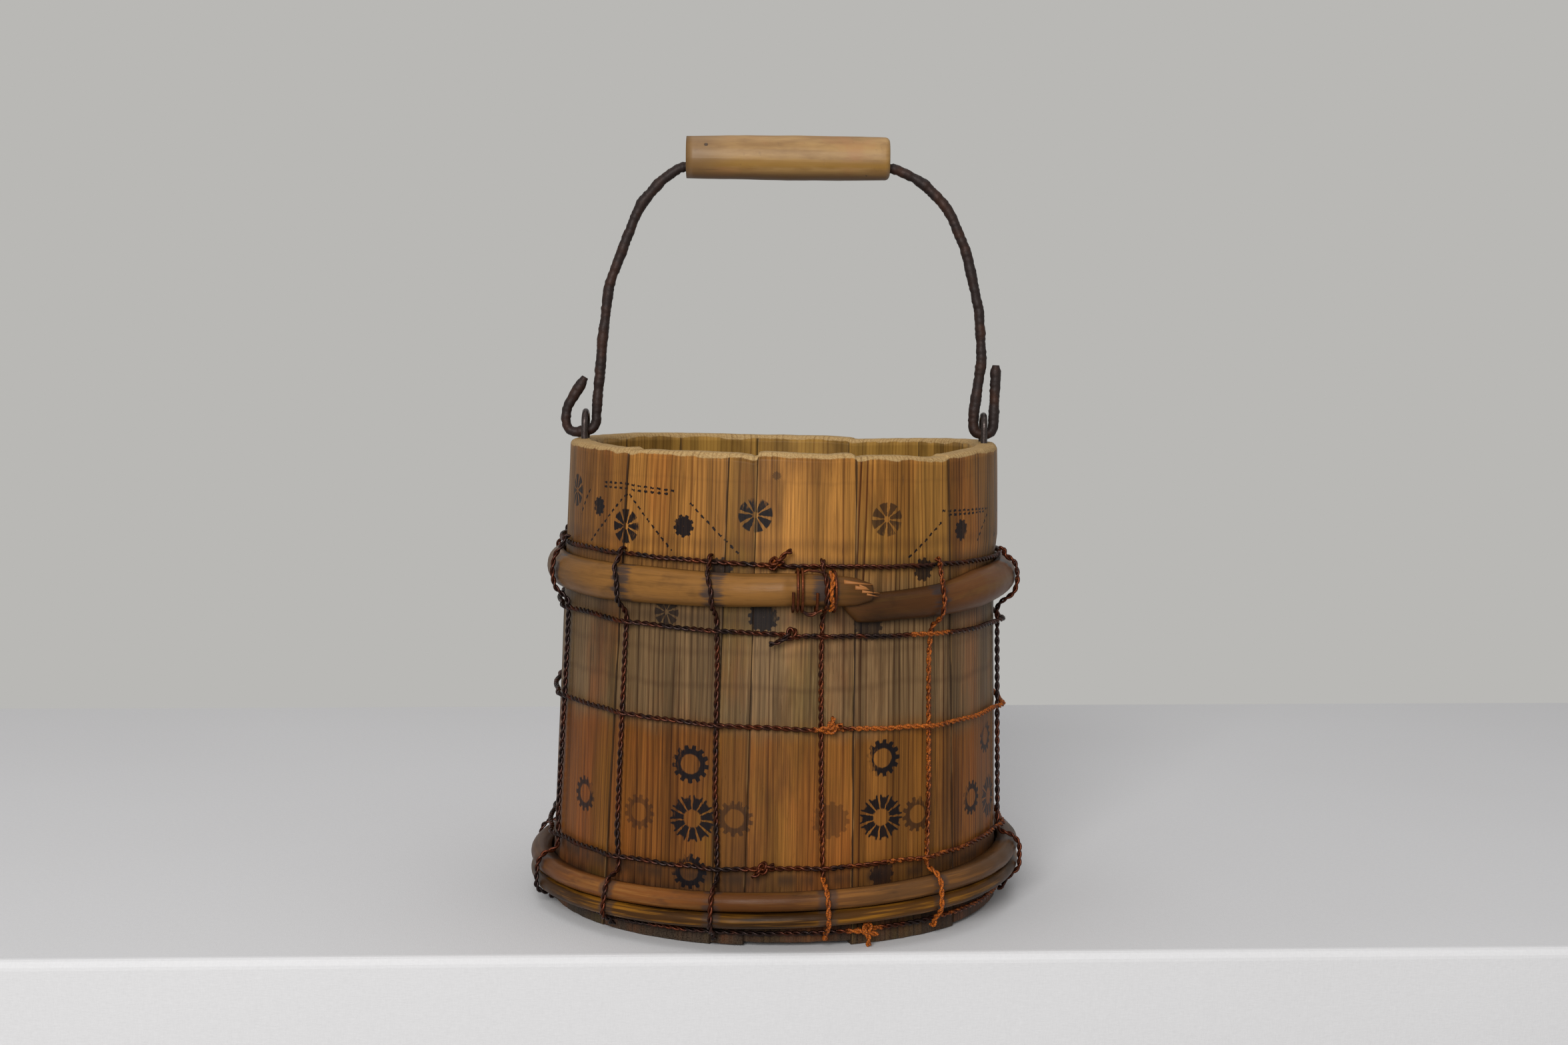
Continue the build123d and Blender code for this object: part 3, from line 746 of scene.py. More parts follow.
# Stamps on the staves by kind: angle, level, radius and turn of each, then how its print
# fades across and upwards, and its strength
stamps = [
    (petal_stamp, [
        (-42.5, 0.2071, 0.0088, 0.35, -0.30, 0.0, 1.0), (-6.6, 0.2159, 0.0086, 0.20, 0.0, -0.35, 1.0),
        (26.5, 0.2134, 0.0086, 0.10, -0.2, 0.25, 0.75), (-67.3, 0.2221, 0.0085, 0.3, 0.0, 0.2, 0.95),
        (-29.0, 0.1656, 0.0070, 0.4, 0.0, 0.0, 0.8), (-93.0, 0.2080, 0.0086, 0.1, 0.2, 0.1, 0.9),
        (92.0, 0.2090, 0.0086, 0.2, 0.1, -0.2, 0.8), (129.0, 0.2110, 0.0086, 0.2, 0.1, -0.2, 0.95),
        (167.0, 0.2110, 0.0086, 0.1, 0.2, 0.2, 1.0), (203.0, 0.2130, 0.0086, 0.2, -0.2, 0.1, 0.9),
        (244.0, 0.2110, 0.0086, 0.3, 0.1, -0.1, 0.9),
    ]),
    (flower_stamp, [
        (-53.7, 0.2157, 0.0052, 0.0, 0.3, 0.0, 1.0), (-24.9, 0.2091, 0.0058, 0.2, 0.2, -0.1, 1.0),
        (51.5, 0.2057, 0.0058, 0.3, -0.3, 0.2, 0.95), (-14.7, 0.1888, 0.0060, 0.0, 0.2, 0.0, 0.9),
        (37.4, 0.1872, 0.0062, 0.0, 0.0, 0.2, 0.9), (25.8, 0.0348, 0.0068, 0.1, 0.1, -0.4, 0.8),
        (107.0, 0.2120, 0.0058, 0.2, 0.2, -0.1, 0.95), (148.0, 0.2130, 0.0058, 0.2, 0.2, 0.2, 0.9),
        (186.0, 0.2090, 0.0058, 0.2, 0.2, -0.1, 0.95), (228.0, 0.2100, 0.0058, 0.2, 0.1, -0.1, 0.9),
    ]),
    (disc_stamp, [
        (-1.6, 0.2354, 0.0022, 0.0, 0.0, 0.0, 0.5), (-4.1, 0.1656, 0.0078, 0.1, -0.3, -0.2, 0.95),
        (21.6, 0.1606, 0.0078, 0.2, 0.1, 0.3, 0.8), (12.7, 0.0638, 0.0095, 0.1, 0.3, -0.1, 0.42),
    ]),
    (cog_stamp, [
        (-21.3, 0.0903, 0.0098, 0.1, 0.28, -0.1, 1.0), (25.8, 0.0936, 0.0096, 0.0, 0.50, 0.1, 1.0),
        (67.3, 0.0933, 0.0090, 0.0, 0.2, -0.5, 0.9), (-55.3, 0.0654, 0.0094, 0.2, -0.40, -0.2, 0.9),
        (57.0, 0.0645, 0.0092, 0.1, 0.40, -0.2, 0.95), (-35.2, 0.0627, 0.0092, 0.0, 0.1, -0.2, 0.5),
        (-10.0, 0.0644, 0.0092, 0.2, 0.0, -0.3, 0.62), (35.9, 0.0629, 0.0092, 0.1, -0.2, -0.3, 0.7),
        (-20.9, 0.0361, 0.0092, 0.0, 0.35, -0.35, 1.0), (-86.0, 0.0915, 0.0096, 0.1, 0.5, -0.2, 0.9),
        (118.0, 0.0910, 0.0096, 0.1, 0.6, 0.1, 0.9), (103.0, 0.0630, 0.0092, 0.2, 0.2, -0.4, 0.45),
        (133.0, 0.0640, 0.0092, 0.1, -0.3, -0.3, 0.5), (163.0, 0.0920, 0.0096, 0.1, -0.6, 0.1, 1.0),
        (178.0, 0.0620, 0.0092, 0.1, 0.3, -0.3, 0.5), (208.0, 0.0920, 0.0096, 0.1, 0.7, -0.1, 1.0),
        (224.0, 0.0640, 0.0092, 0.1, 0.2, -0.3, 0.5),
    ]),
    (wheel_stamp, [
        (-20.4, 0.0629, 0.0121, 0.1, 0.1, -0.2, 1.0), (25.6, 0.0636, 0.0118, 0.0, -0.1, -0.1, 1.0),
        (69.9, 0.0600, 0.0118, 0.3, 0.1, 0.1, 0.9), (-86.0, 0.0640, 0.0121, 0.1, 0.1, -0.2, 0.95),
        (118.0, 0.0620, 0.0121, 0.0, 0.0, 0.2, 0.95), (163.0, 0.0630, 0.0121, 0.1, -0.2, 0.1, 1.0),
        (208.0, 0.0630, 0.0121, 0.1, 0.1, -0.1, 0.95), (249.0, 0.0630, 0.0121, 0.1, -0.2, -0.1, 0.95),
    ]),
]

# Rows of dashes: angle and level of both ends
dash_width = 0.0007
dash_pitch = 0.0042
dash_rows = [
    (-51.9, 0.2285, -41.6, 0.2285),
    (-41.6, 0.2282, -27.8, 0.2265),
    (-41.5, 0.2258, -29.3, 0.2247),
    (-51.9, 0.2262, -42.4, 0.2262),
    (-42.0, 0.2241, -57.1, 0.1972),
    (-42.0, 0.2241, -28.0, 0.1965),
    (-23.6, 0.2215, -10.5, 0.1966),
    (-58.3, 0.2247, -63.5, 0.2101),
    (43.4, 0.2163, 66.9, 0.2149),
    (45.7, 0.2140, 64.3, 0.2136),
    (43.9, 0.2111, 32.2, 0.1926),
    (66.4, 0.2126, 59.6, 0.1990),
    (-84.0, 0.2250, -97.0, 0.1975),
    (84.0, 0.2225, 72.0, 0.1975),
    (84.0, 0.2235, 99.0, 0.1985),
    (110.0, 0.2260, 128.0, 0.2255),
    (110.0, 0.2235, 128.0, 0.2230),
    (138.0, 0.2240, 126.0, 0.1980),
    (138.0, 0.2240, 152.0, 0.1980),
    (157.0, 0.2260, 176.0, 0.2250),
    (157.0, 0.2236, 176.0, 0.2226),
    (176.0, 0.2215, 190.0, 0.1970),
    (212.0, 0.2240, 198.0, 0.1980),
    (212.0, 0.2240, 226.0, 0.1985),
    (232.0, 0.2255, 250.0, 0.2255),
    (232.0, 0.2231, 250.0, 0.2231),
]

# Look of each stave: brightness, warmth, spacing of its growth lines, how strong those
# lines are, how dirty the seam at its start is, and how light its top is, partly its own
# tone and partly painted shade on the staves at the sides
stave_looks = [
    (0.88, 0.50, 0.0030, 0.45, 0.6, 0.8),
    (0.90, 0.85, 0.0031, 0.50, 0.4, 0.72),
    (0.88, 0.65, 0.0027, 0.70, 0.4, 1.05),
    (0.80, 0.45, 0.0033, 0.55, 0.1, 1.0),
    (1.22, 0.60, 0.0026, 0.80, 0.5, 0.93),
    (1.18, 0.40, 0.0030, 0.95, 0.3, 0.82),
    (1.04, 0.60, 0.0028, 0.75, 0.5, 0.75),
    (0.88, 0.55, 0.0030, 0.60, 0.6, 0.9),
    (0.95, 0.70, 0.0034, 0.55, 0.8, 1.0),
    (1.05, 0.55, 0.0027, 0.70, 0.5, 0.9),
    (0.92, 0.75, 0.0031, 0.60, 0.7, 1.05),
    (1.03, 0.50, 0.0028, 0.80, 0.6, 0.95),
    (0.90, 0.60, 0.0032, 0.55, 0.8, 0.85),
    (0.97, 0.68, 0.0029, 0.65, 0.6, 1.0),
]


# Bands that run round the pail, water stains and painted shade along the hoops and rings: height, half
# width and strength
water_lines = [
    (0.1475, 0.0035, 0.35), (0.1300, 0.0030, 0.45), (0.2010, 0.0050, 0.45), (0.2330, 0.0016, 0.15),
]
shade_bands = [(0.0340, 0.0090, 0.85), (0.1640, 0.0070, 0.50), (0.1905, 0.0060, 0.45)]
wood_gloss = 0.12
iron_gloss = 0.25


def nearest_turn(angle, middle):
    """The same angle, a whole number of turns away, nearest to another one."""
    return angle + 360 * round((middle - angle) / 360)


def stave_span(index, level=rim_height / 2):
    """First and last angle of a stave at a height, since its seams lean a little."""
    following = (index + 1) % len(stave_angles)
    rise = 2 * level / rim_height - 1
    start = stave_angles[index] + seam_leans[index] * rise
    end = stave_angles[following] + seam_leans[following] * rise
    return start, end if end > start else end + 360


def ink_on(sheet, where, index):
    """Mask of all stamps and dashes that lie on a stave."""
    start, end = stave_span(index)
    middle = (start + end) / 2
    masks = []
    for kind, rows in stamps:
        for angle, level, radius, turn, *shares in rows:
            angle = nearest_turn(angle, middle)
            reach = math.degrees(radius / outside(level))
            if start - reach < angle < end + reach:
                across = math.radians(angle) * mouth_radius
                stamp = sheet.group(stamp_group, where, across, level, radius, turn, *kind, *shares)
                masks.append(stamp["Mask"])
    for first, first_level, last, last_level in dash_rows:
        shift = nearest_turn((first + last) / 2, middle) - (first + last) / 2
        low, high = sorted((first + shift, last + shift))
        if low < end and high > start:
            run = Vector((math.radians(last - first) * mouth_radius, last_level - first_level))
            across = math.radians(first + shift) * mouth_radius
            along = (run.x / run.length, run.y / run.length, run.length)
            row = sheet.group(dash_group, where, across, first_level, *along, dash_pitch, dash_width)
            masks.append(row["Mask"])
    total = masks[0] if masks else 0.0
    for mask in masks[1:]:
        total = total.math("MAXIMUM", mask)
    return total


def stave_material(index):
    """Oiled and worn softwood of one stave, with its stamps, stains and worn rim, and painted shade
    along the hoops, deeper inside and on the tops of the side staves.
    """
    bright, warm, spacing, contrast, seam_dirt, top_tone_and_shade = stave_looks[index]
    material, sheet = new_look(f"stave_wood_{index + 1:02d}")
    where = sheet.attribute("around")
    below_rim, seam, depth = sheet.attribute("edges").split()
    level = where.split()[2]
    grain = sheet.group(grain_group, where, index * 1.37 + 0.4, spacing)
    lines, fibre, streak = grain["Lines"], grain["Fibre"], grain["Streak"]
    clouds = where.drawn((22, 22, 16), 4.0, 0.6, (index, 0, 0))
    shifted = level + (clouds - 0.5) * 0.030

    # Four zones, one above the other
    upper = sheet.blend(warm, colour(124, 93, 40), colour(148, 96, 44))
    # Top zone lighter or darker per stave: partly the stave's own tone, partly painted shade on the side
    # staves
    upper = upper.tint(grey(top_tone_and_shade))
    lower = sheet.blend(warm, colour(102, 71, 28), colour(114, 64, 24))
    base = sheet.blend(shifted.step(0.165, 0.200), colour(104, 81, 54), upper)
    base = sheet.blend(shifted.step(0.100, 0.116), lower, base)
    base = sheet.blend(level.step(0.022, 0.034), colour(44, 32, 25), base)
    base = base.tint(grey(bright))

    # Orange, olive and brown clouds, then the grain
    orange = where.patches(index * 3.1, 26.0, 0.50, 0.68, 0.30)
    base = base.under(orange * (0.30 * warm + 0.08), 144, 74, 24)
    olive = where.patches(index * 2.3 + 9, 20.0, 0.52, 0.70, 0.25)
    base = base.under(olive * (0.55 - 0.38 * warm), 98, 80, 20)
    brown = where.patches(index * 1.9 + 20, 38.0, 0.48, 0.66, 0.25)
    base = base.under(brown * 0.48, 66, 38, 18)
    streaked = streak.step(0.32, 0.68, 0.72, 1.30)
    base = base.tint(streaked)
    base = base.under(lines * contrast, base.tint(colour(128, 94, 72)))
    base = base.tint(fibre.step(0.34, 0.66, 0.72, 1.22))
    light = where.patches(index + 6.1, 420.0, 0.60, 0.74, 0.03)
    band = shifted.step(0.105, 0.122) * shifted.fade(0.155, 0.180)
    base = base.under(light * (band * 0.6), 150, 124, 84)
    pores = where.patches(index + 3.3, 900.0, 0.66, 0.74, 0.05)
    base = base.under(pores * 0.55, 58, 34, 16)

    # Water lines, painted shade in bands along the hoops and rings, and dust at the foot
    drift = level + (clouds - 0.5) * 0.012
    for height, width, amount in water_lines:
        stain = abs(drift - height).fade(0.0, width) * amount
        base = base.under(stain * clouds, 54, 32, 18)
    speckle = where.noise(1400.0, 3.0, 0.6)
    # Dark bands at the hoops and rings: painted shade next to them, broken by streaks
    for height, reach, amount in shade_bands:
        near = abs(level - height).fade(0.0, reach) * amount
        base = base.under(near * streak.step(0.35, 0.6, 0.35, 1.0), 44, 30, 20)
    dusty = level.step(0.009, 0.0, 0.0, 0.28) * speckle.step(0.35, 0.6)
    base = base.under(dusty, 112, 98, 80)

    # Stamps, scratches and the seams
    ink = ink_on(sheet, where, index) * depth.fade(0.001, 0.003)
    base = base.under(ink * fibre.step(0.25, 0.75, 1.0, 0.95), 14, 11, 15)
    scratch = where.patches(index + 40.0, 190.0, 0.715, 0.74, 6.0)
    base = base.under(scratch * 0.30, 160, 126, 80)
    edge_noise = where.drawn((60, 60, 26), offset=(index + 2, 0, 0))
    pale_edge = seam.fade(0.0005, 0.0011) * edge_noise.step(0.50, 0.60)
    base = base.under(pale_edge * 0.30, 150, 116, 72)
    seam_reach = edge_noise.step(0.62, 0.38) * (0.0016 * seam_dirt)
    dirty = (seam / (seam_reach + 0.00036)).fade(0.45, 1.15)
    base = base.under(dirty * 0.80, 36, 24, 16)

    # Inside of the pail, darker towards the bottom as painted shade, then the pale rim
    # Inside darker towards the bottom: painted shade deeper in the pail
    inner = sheet.blend(level.step(0.03, 0.17), colour(74, 54, 27), colour(136, 102, 46))
    wet = where.patches(index * 1.1 + 5, 30.0, 0.45, 0.65, 0.5)
    inner = inner.under(wet * 0.45, 90, 62, 27)
    inner = inner.tint(streaked)
    inner = inner.under(lines * 0.6, inner.tint(colour(170, 146, 120)))
    inner = inner.under(dirty * 0.7, 40, 28, 18)
    base = base.under(depth.step(0.0052, 0.0066), inner)
    ragged = where.drawn((70, 70, 40), 4.0)
    rim = (below_rim - ragged * 0.0046).fade(-0.0004, 0.0003)
    rim_tone = sheet.blend(speckle.step(0.42, 0.62), colour(170, 142, 98), colour(148, 118, 76))
    rim_tone = rim_tone.under(lines * 0.5, 98, 70, 38)
    base = base.under(rim * 0.95, rim_tone)
    rough = (clouds * 0.30 + rim * 0.25 + 0.34).held()
    height = grain["Height"] + speckle * 0.25 - pores * 1.2
    finish_look(material, sheet, base, rough, (height, 0.00022, 0.55), wood_gloss)
    return material


def rim_drop(angle):
    """How far the worn rim lies below its highest point at an angle."""
    angle = nearest_turn(angle, (rim_drops[0][0] + rim_drops[-1][0]) / 2)
    return between(rim_drops, angle)


def cut_across(bm, direction, places):
    """Cuts every face at some places along a direction."""
    for distance in places:
        geometry = bm.verts[:] + bm.edges[:] + bm.faces[:]
        bmesh.ops.bisect_plane(bm, geom=geometry, plane_co=direction * distance, plane_no=direction)


def bevel(bm, edges, offset, segments):
    """Rounds or bevels some edges."""
    bmesh.ops.bevel(
        bm, geom=edges, offset=offset, segments=segments, profile=0.5, affect="EDGES", material=-1
    )


def cut_board(width):
    """A bevelled board as wide as a stave, cut fine both ways."""
    bm = bmesh.new()
    bmesh.ops.create_cube(bm, size=1)
    bmesh.ops.scale(bm, vec=(width, mouth_wall, rim_height), verts=bm.verts)
    bmesh.ops.translate(bm, vec=(0, mouth_wall / 2, rim_height / 2), verts=bm.verts)
    for top, offset, segments in ((True, rim_round, 5), (False, foot_bevel, 1)):
        chosen = []
        for edge in bm.edges:
            along = abs((edge.verts[0].co - edge.verts[1].co).x) > width / 2
            if along and (edge.verts[0].co.z > rim_height / 2) == top:
                chosen.append(edge)
        bevel(bm, chosen, offset, segments)
    sides = [face for face in bm.faces if abs(face.normal.x) > 0.9]
    bevel(bm, [edge for face in sides for edge in face.edges], seam_round, 2)
    count = round(width / across_cut)
    cut_across(bm, Vector((1, 0, 0)), [width * (part / count - 0.5) for part in range(1, count)])
    count = round(rim_height / level_cut)
    levels = [rim_height * part / count for part in range(1, count)]
    levels += [rim_height - rim_round - rim_cut * part for part in range(5)]
    cut_across(bm, Vector((0, 0, 1)), levels)
    return bm


def make_stave(index):
    """One stave: a board bent round the pail and worn."""
    start, end = stave_span(index)
    width = math.radians(end - start) * mouth_radius - seam_gap
    bm = cut_board(width)
    around = bm.verts.layers.float_vector.new("around")
    edges = bm.verts.layers.float_vector.new("edges")
    proud = proud_step * proud_shares[index]
    foot = foot_wear * foot_wear_shares[index]
    for vertex in bm.verts:
        across, depth, level = vertex.co
        part = across / width + 0.5
        first, last = stave_span(index, level)
        angle = first + (last - first) * part
        arc = math.radians(first) * mouth_radius
        arc += part * math.radians(last - first) * mouth_radius
        chip = rim_nick * wander(3, arc * 120, 0) + fine_nick * wander(4, arc * 500, depth * 200)
        outer_chip = edge_chip * smooth(0.003, 0.0, depth) * smooth(0.2, 0.7, wander(6, arc * 80))
        drop = rim_drop(angle) + chip + outer_chip + rim_settle
        high = level - drop * smooth(rim_height - rim_fade, rim_height, level)
        raised = foot + foot_unevenness * (0.5 + wander(8, arc * 180))
        low = high + raised * smooth(0.02, 0, level)
        wall = foot_wall + (mouth_wall - foot_wall) * level / rim_height
        flat = facet_share * outside(level) * (1 - math.cos(math.radians((end - start) / 2)))
        hollow = flat * (1 - (2 * part - 1) ** 2)
        rough = face_swell * wander(12 + index, arc * 90, level * 24)
        rough += face_ripple * wander(30, arc * 420, level * 30)
        radius = outside(low) + proud - face_settle - hollow * 0.6 - depth * wall / mouth_wall
        radius += rough if depth < mouth_wall / 2 else 0.8 * rough
        vertex[around] = (arc, depth, low)
        vertex[edges] = (rim_height - level, width / 2 - abs(across), depth)
        vertex.co = place(angle, radius, low)
    name = f"stave_{index + 1:02d}"
    return piece_from(bm, f"worn_{name}", stave_material(index), "bucket", [name])


# Upper and lower hoops

def pole_at(way_round):
    """Level, half height, back radius and thickness of the upper hoop."""
    for near, far in zip(pole_station_shares, pole_station_shares[1:]):
        if far[0] <= way_round <= near[0]:
            part = (near[0] - way_round) / (near[0] - far[0])
            row = [first + (last - first) * part for first, last in zip(near, far)]
    level = pole_level - pole_drop * row[1]
    half = pole_height * row[2] / 2
    back = outside(level - half) + proud_step + pole_fit + lap_lift * row[4]
    return level, half, back, pole_thickness * row[3]


def pole_outside_at(angle):
    """The upper hoop where it shows at an angle round the pail."""
    first = pole_station_shares[0][0]
    return pole_at(angle if angle <= first else angle - 360)


def iron_stain(angle, level, spread):
    """How much iron has stained the wood near an upright tie."""
    turns = [tie_turn(index, level) for index in range(len(tie_angles))]
    nearest = min(abs(nearest_turn(turn, angle) - angle) for turn in turns)
    return smooth(spread, spread * 0.15, nearest)


# How light the hoops are at some angles: partly their own tone, partly painted shade towards the sides
even_shades = [(-180, 1.0), (180, 1.0)]
upper_hoop_tone_and_shade = [
    (-180, 0.8), (-88, 0.4), (-62, 0.72), (-42, 1.0), (3, 1.0), (13, 0.75), (22, 0.42),
    (34, 0.55), (47, 1.0), (68, 1.0), (92, 0.6), (180, 0.8),
]
upper_strip_tone_and_shade = [
    (-180, 0.7), (-95, 0.3), (-72, 0.38), (-52, 0.9), (-25, 1.0), (-14, 0.55), (4, 0.5), (14, 0.85),
    (32, 0.95), (52, 0.7), (75, 0.42), (180, 0.7),
]
lower_strip_tone_and_shade = [
    (-180, 0.8), (-92, 0.5), (-55, 0.75), (-32, 0.95), (-16, 0.9), (-6, 0.5), (6, 0.55), (15, 1.0),
    (38, 1.0), (60, 0.7), (90, 0.55), (180, 0.8),
]


def hoop_along(ways, pitch, level, spread):
    """What the wood of a hoop reads at its points: way round, way across and iron stain."""
    def along(row, column):
        way = ways[row]
        return (math.radians(way) * foot_radius, column * pitch, iron_stain(way, level, spread))

    return along


def make_upper_hoop(material):
    """The peeled sapling, its section an uneven half round."""
    first, last = pole_station_shares[0][0], pole_station_shares[-1][0]
    count = 560
    front_points = 22
    back_points = 8
    ways = [first + (last - first) * step / count for step in range(count + 1)]
    rows = []
    for way in ways:
        level, half, back, thick = pole_at(way)
        # Even and pressed in where the lashings hold it
        bound = smooth(0.8, 2.0, way) * smooth(14.5, 13.0, way)
        ring = []
        for column in range(front_points + back_points):
            if column < front_points:
                turn = math.pi * (column / (front_points - 1) - 0.5)
                radial = thick * max(0, math.cos(turn)) ** (0.85 + 0.15 * bound) - lashing_press * bound
                upright = half * math.sin(turn)
            else:
                radial = 0.0
                upright = half * (1 - 2 * (column - front_points + 1) / (back_points + 1))
            swell = pole_swell * wander(50, way * 0.06, upright * 160)
            swell += pole_ripple * wander(51, way * 0.5, upright * 900)
            swell *= 1 - bound
            radial += swell * (column < front_points)
            ring.append(place(way, back + max(0.0001, radial), level + upright * (1 + 12 * swell)))
        rows.append(ring)
    bm = skin(rows, along=hoop_along(ways, 0.0012, pole_level, 4.6))
    return piece_from(bm, "peeled_upper_hoop", material, "bucket", ["upper_hoop"])


def make_splinters(material):
    """Torn fibres at the broken end of the sapling."""
    bm = bmesh.new()
    for number, (share, length, width, start) in enumerate(torn_fibres):
        level, half, back, thick = pole_at(start)
        end_level, end_half, end_back, end_thick = pole_at(min(start + 5, 20.4))
        bulge = math.sqrt(max(0, 1 - share * share))
        root = place(start, back + thick * bulge - 0.0008, level + half * share)
        end = start + math.degrees(length / back)
        tip = place(end, end_back + end_thick * 0.55, end_level + end_half * share - 0.0004 * number)
        ends = {"radius1": width / 2, "radius2": width / 9, "depth": (tip - root).length}
        made = bmesh.ops.create_cone(bm, cap_ends=True, segments=7, **ends)["verts"]
        turn = (tip - root).normalized().to_track_quat("Z", "Y").to_matrix().to_4x4()
        bmesh.ops.scale(bm, vec=(1, 0.45, 1), verts=made)
        bmesh.ops.transform(bm, matrix=Matrix.Translation((root + tip) / 2) @ turn, verts=made)
    return piece_from(bm, "hoop_end_splinters", material, "bucket")


def strip_levels(upper):
    """Lower and upper edge of one strip of the lower hoop, at the front."""
    if upper:
        return strips_top - upper_strip_height, strips_top
    return strip_level, strip_level + lower_strip_height


def strip_back(upper):
    """Radius of the flat back of one strip of the lower hoop."""
    lowest = strip_levels(upper)[0] - fall(90, foot_radius, strip_tilt)
    return outside(lowest) + proud_step + strip_fit


def make_strip(upper, name, material):
    """One strip of the lower hoop, round nosed, with knots and worn hollows."""
    low, high = strip_levels(upper)
    back = strip_back(upper)
    nose = (high - low) / 2
    scarf = 180.2
    scarf_gap = 0.35
    count = 420
    front_points = 18
    back_points = 6
    ways = [scarf - scarf_gap - (360 - 2 * scarf_gap) * step / count for step in range(count + 1)]
    rows = []
    for angle in ways:
        off = (angle - strip_knot_angle) / strip_knot_reach
        knot = 0 if upper else strip_knot_rise * math.exp(-(off ** 2))
        wave = strip_wave * wander(60 + upper, angle * 0.05)
        wave += strip_ripple * wander(62 + upper, angle * 0.25)
        ring = []
        for column in range(front_points + back_points):
            if column < front_points:
                turn = math.pi * (column / (front_points - 1) - 0.5)
                radial = strip_thickness - nose + nose * math.cos(turn)
                upright = nose * math.sin(turn)
                hollow = wander(64 + upper, angle * 0.02, upright * 420)
                groove = strip_groove * smooth(0.5, 0.75, hollow)
                radial += wave + knot * math.cos(turn) - groove
            else:
                radial = 0.0
                upright = nose * (1 - 2 * (column - front_points + 1) / (back_points + 1))
            level = (low + high) / 2 + upright + fall(angle, back, strip_tilt)
            shift = upright * math.radians(strip_tilt) * math.sin(math.radians(angle))
            ring.append(place(angle, back + radial - shift, level))
        rows.append(ring)
    bm = skin(rows, along=hoop_along(ways, 0.0011, strip_level, 3.4))
    return piece_from(bm, f"split_{name}", material, "bucket", [name])


def shades(sheet, value, stops):
    """Greys blended along a value from stop to stop, the first at 0 and the last at 1."""
    ramp = sheet.add("ShaderNodeValToRGB", {"Fac": value})
    elements = ramp.socket.node.color_ramp.elements
    elements[0].color = grey(stops[0][1])
    elements[1].color = grey(stops[-1][1])
    for spot, shade in stops[1:-1]:
        elements.new(spot / 360 + 0.5).color = grey(shade)
    return ramp


def hoop_material(name, tones, stain_amount, seed, stops):
    """Peeled and handled sapling wood, darker where iron touches it, and lighter or darker at some
    turns, partly as painted shade.
    """
    material, sheet = new_look(name)
    left, right, streak_tone, dark = tones
    around, across, stained = sheet.attribute("along").split()
    spread = sheet.join(around, across, 0.0)
    streaks = spread.drawn((18, 260, 1), 4.0, 0.6, (seed, 0, 0))
    clouds = spread.drawn((30, 60, 1), 4.0, 0.6, (seed, 3, 0))
    fine = spread.drawn((90, 2200, 1), 3.0, 0.6)
    base = sheet.blend(abs(around + 0.20).step(0.19, 0.26), left, right)
    base = base.under(streaks.step(0.46, 0.64) * 0.75, streak_tone)
    base = base.under(clouds.step(0.50, 0.72) * 0.6, dark)
    base = base.under(fine.step(0.45, 0.75) * 0.25, dark)
    turned = (around / (math.tau * foot_radius) + 0.5).math("FRACT")
    # Lighter and darker by turn round the pail: partly the wood's own tone, partly painted shade towards
    # the sides seen from the front
    base = base.tint(shades(sheet, turned + (streaks - 0.5) * 0.05, stops))
    ragged = stained * streaks.step(0.36, 0.62, 0.35, 1.25)
    base = base.under(ragged.step(0.22, 0.85) * stain_amount, 50, 45, 46)
    rough = (clouds * 0.25 + 0.28).held()
    finish_look(material, sheet, base, rough, (fine + streaks, 0.00018, 0.5), wood_gloss)
    return material


# Wires

def against_staves(level):
    """Radius of the middle of a wire that lies on the proudest staves."""
    return outside(level) + proud_step + wire_radius + wire_fit


def tie_turn(index, level):
    """Angle of an upright tie at a height, since it wanders a little."""
    sway = between(tie_sways[index], level) if index in tie_sways else 0
    return tie_angles[index] + sway + 0.5 * wander(70 + index, level * 9)


def resting(level, lift=0, shift=0):
    """Corner of a wire on the staves at a height, then moved outwards and upwards."""
    return against_staves(level) + lift, level + shift


def tie_route(index):
    """Corners of an upright tie, as radius and height, from the top down."""
    angle = tie_turn(index, pole_level)
    clear = wire_radius + wire_fit
    top = ring_levels[0] - fall(angle, outside(ring_levels[0]), ring_tilts[0])
    level, half, back, thick = pole_outside_at(angle)
    ahead = back + thick + clear
    shoulder = back + thick * shoulder_share + clear
    seat = level - half * seat_share
    hoop_rise = fall(angle, outside(strip_level), strip_tilt)
    hoop_low = strip_level + hoop_rise
    hoop_high = strips_top + hoop_rise
    upper_front, lower_front = (
        strip_back(upper) + strip_thickness + clear + tie_hoop_room for upper in (True, False)
    )
    upper_crown = upper_strip_height * crown_share
    lower_crown = lower_strip_height * crown_share
    flare = hoop_high + upper_strip_height * flare_share
    bottom = ring_levels[4] - fall(angle, outside(ring_levels[4]), ring_tilts[4])
    return [
        resting(top + wire_past),
        resting(top, wire_past, wire_past),
        resting(top, wire_past, -wire_fit),
        (shoulder, level + half * brow_share),
        (ahead, level + half * face_share),
        (ahead, level - half * face_share),
        (shoulder, level - half * brow_share),
        *map(resting, (seat, *tie_rest_levels, flare)),
        (upper_front - strip_thickness * upper_bevel_share, hoop_high + upper_crown),
        (upper_front, hoop_high - upper_crown),
        (lower_front, hoop_low + lower_crown),
        (lower_front - strip_thickness * lower_bevel_share, hoop_low - lower_crown),
        resting(bottom, wire_past, wire_fit),
        resting(bottom, wire_past, -wire_past),
        resting(bottom - wire_past),
    ]


def rust_layer(bm, amount_at):
    """Stores how rusty a wire is at each point."""
    layer = bm.verts.layers.float.new("rust")
    for vertex in bm.verts:
        vertex[layer] = amount_at(turn_of(vertex.co), vertex.co.z)


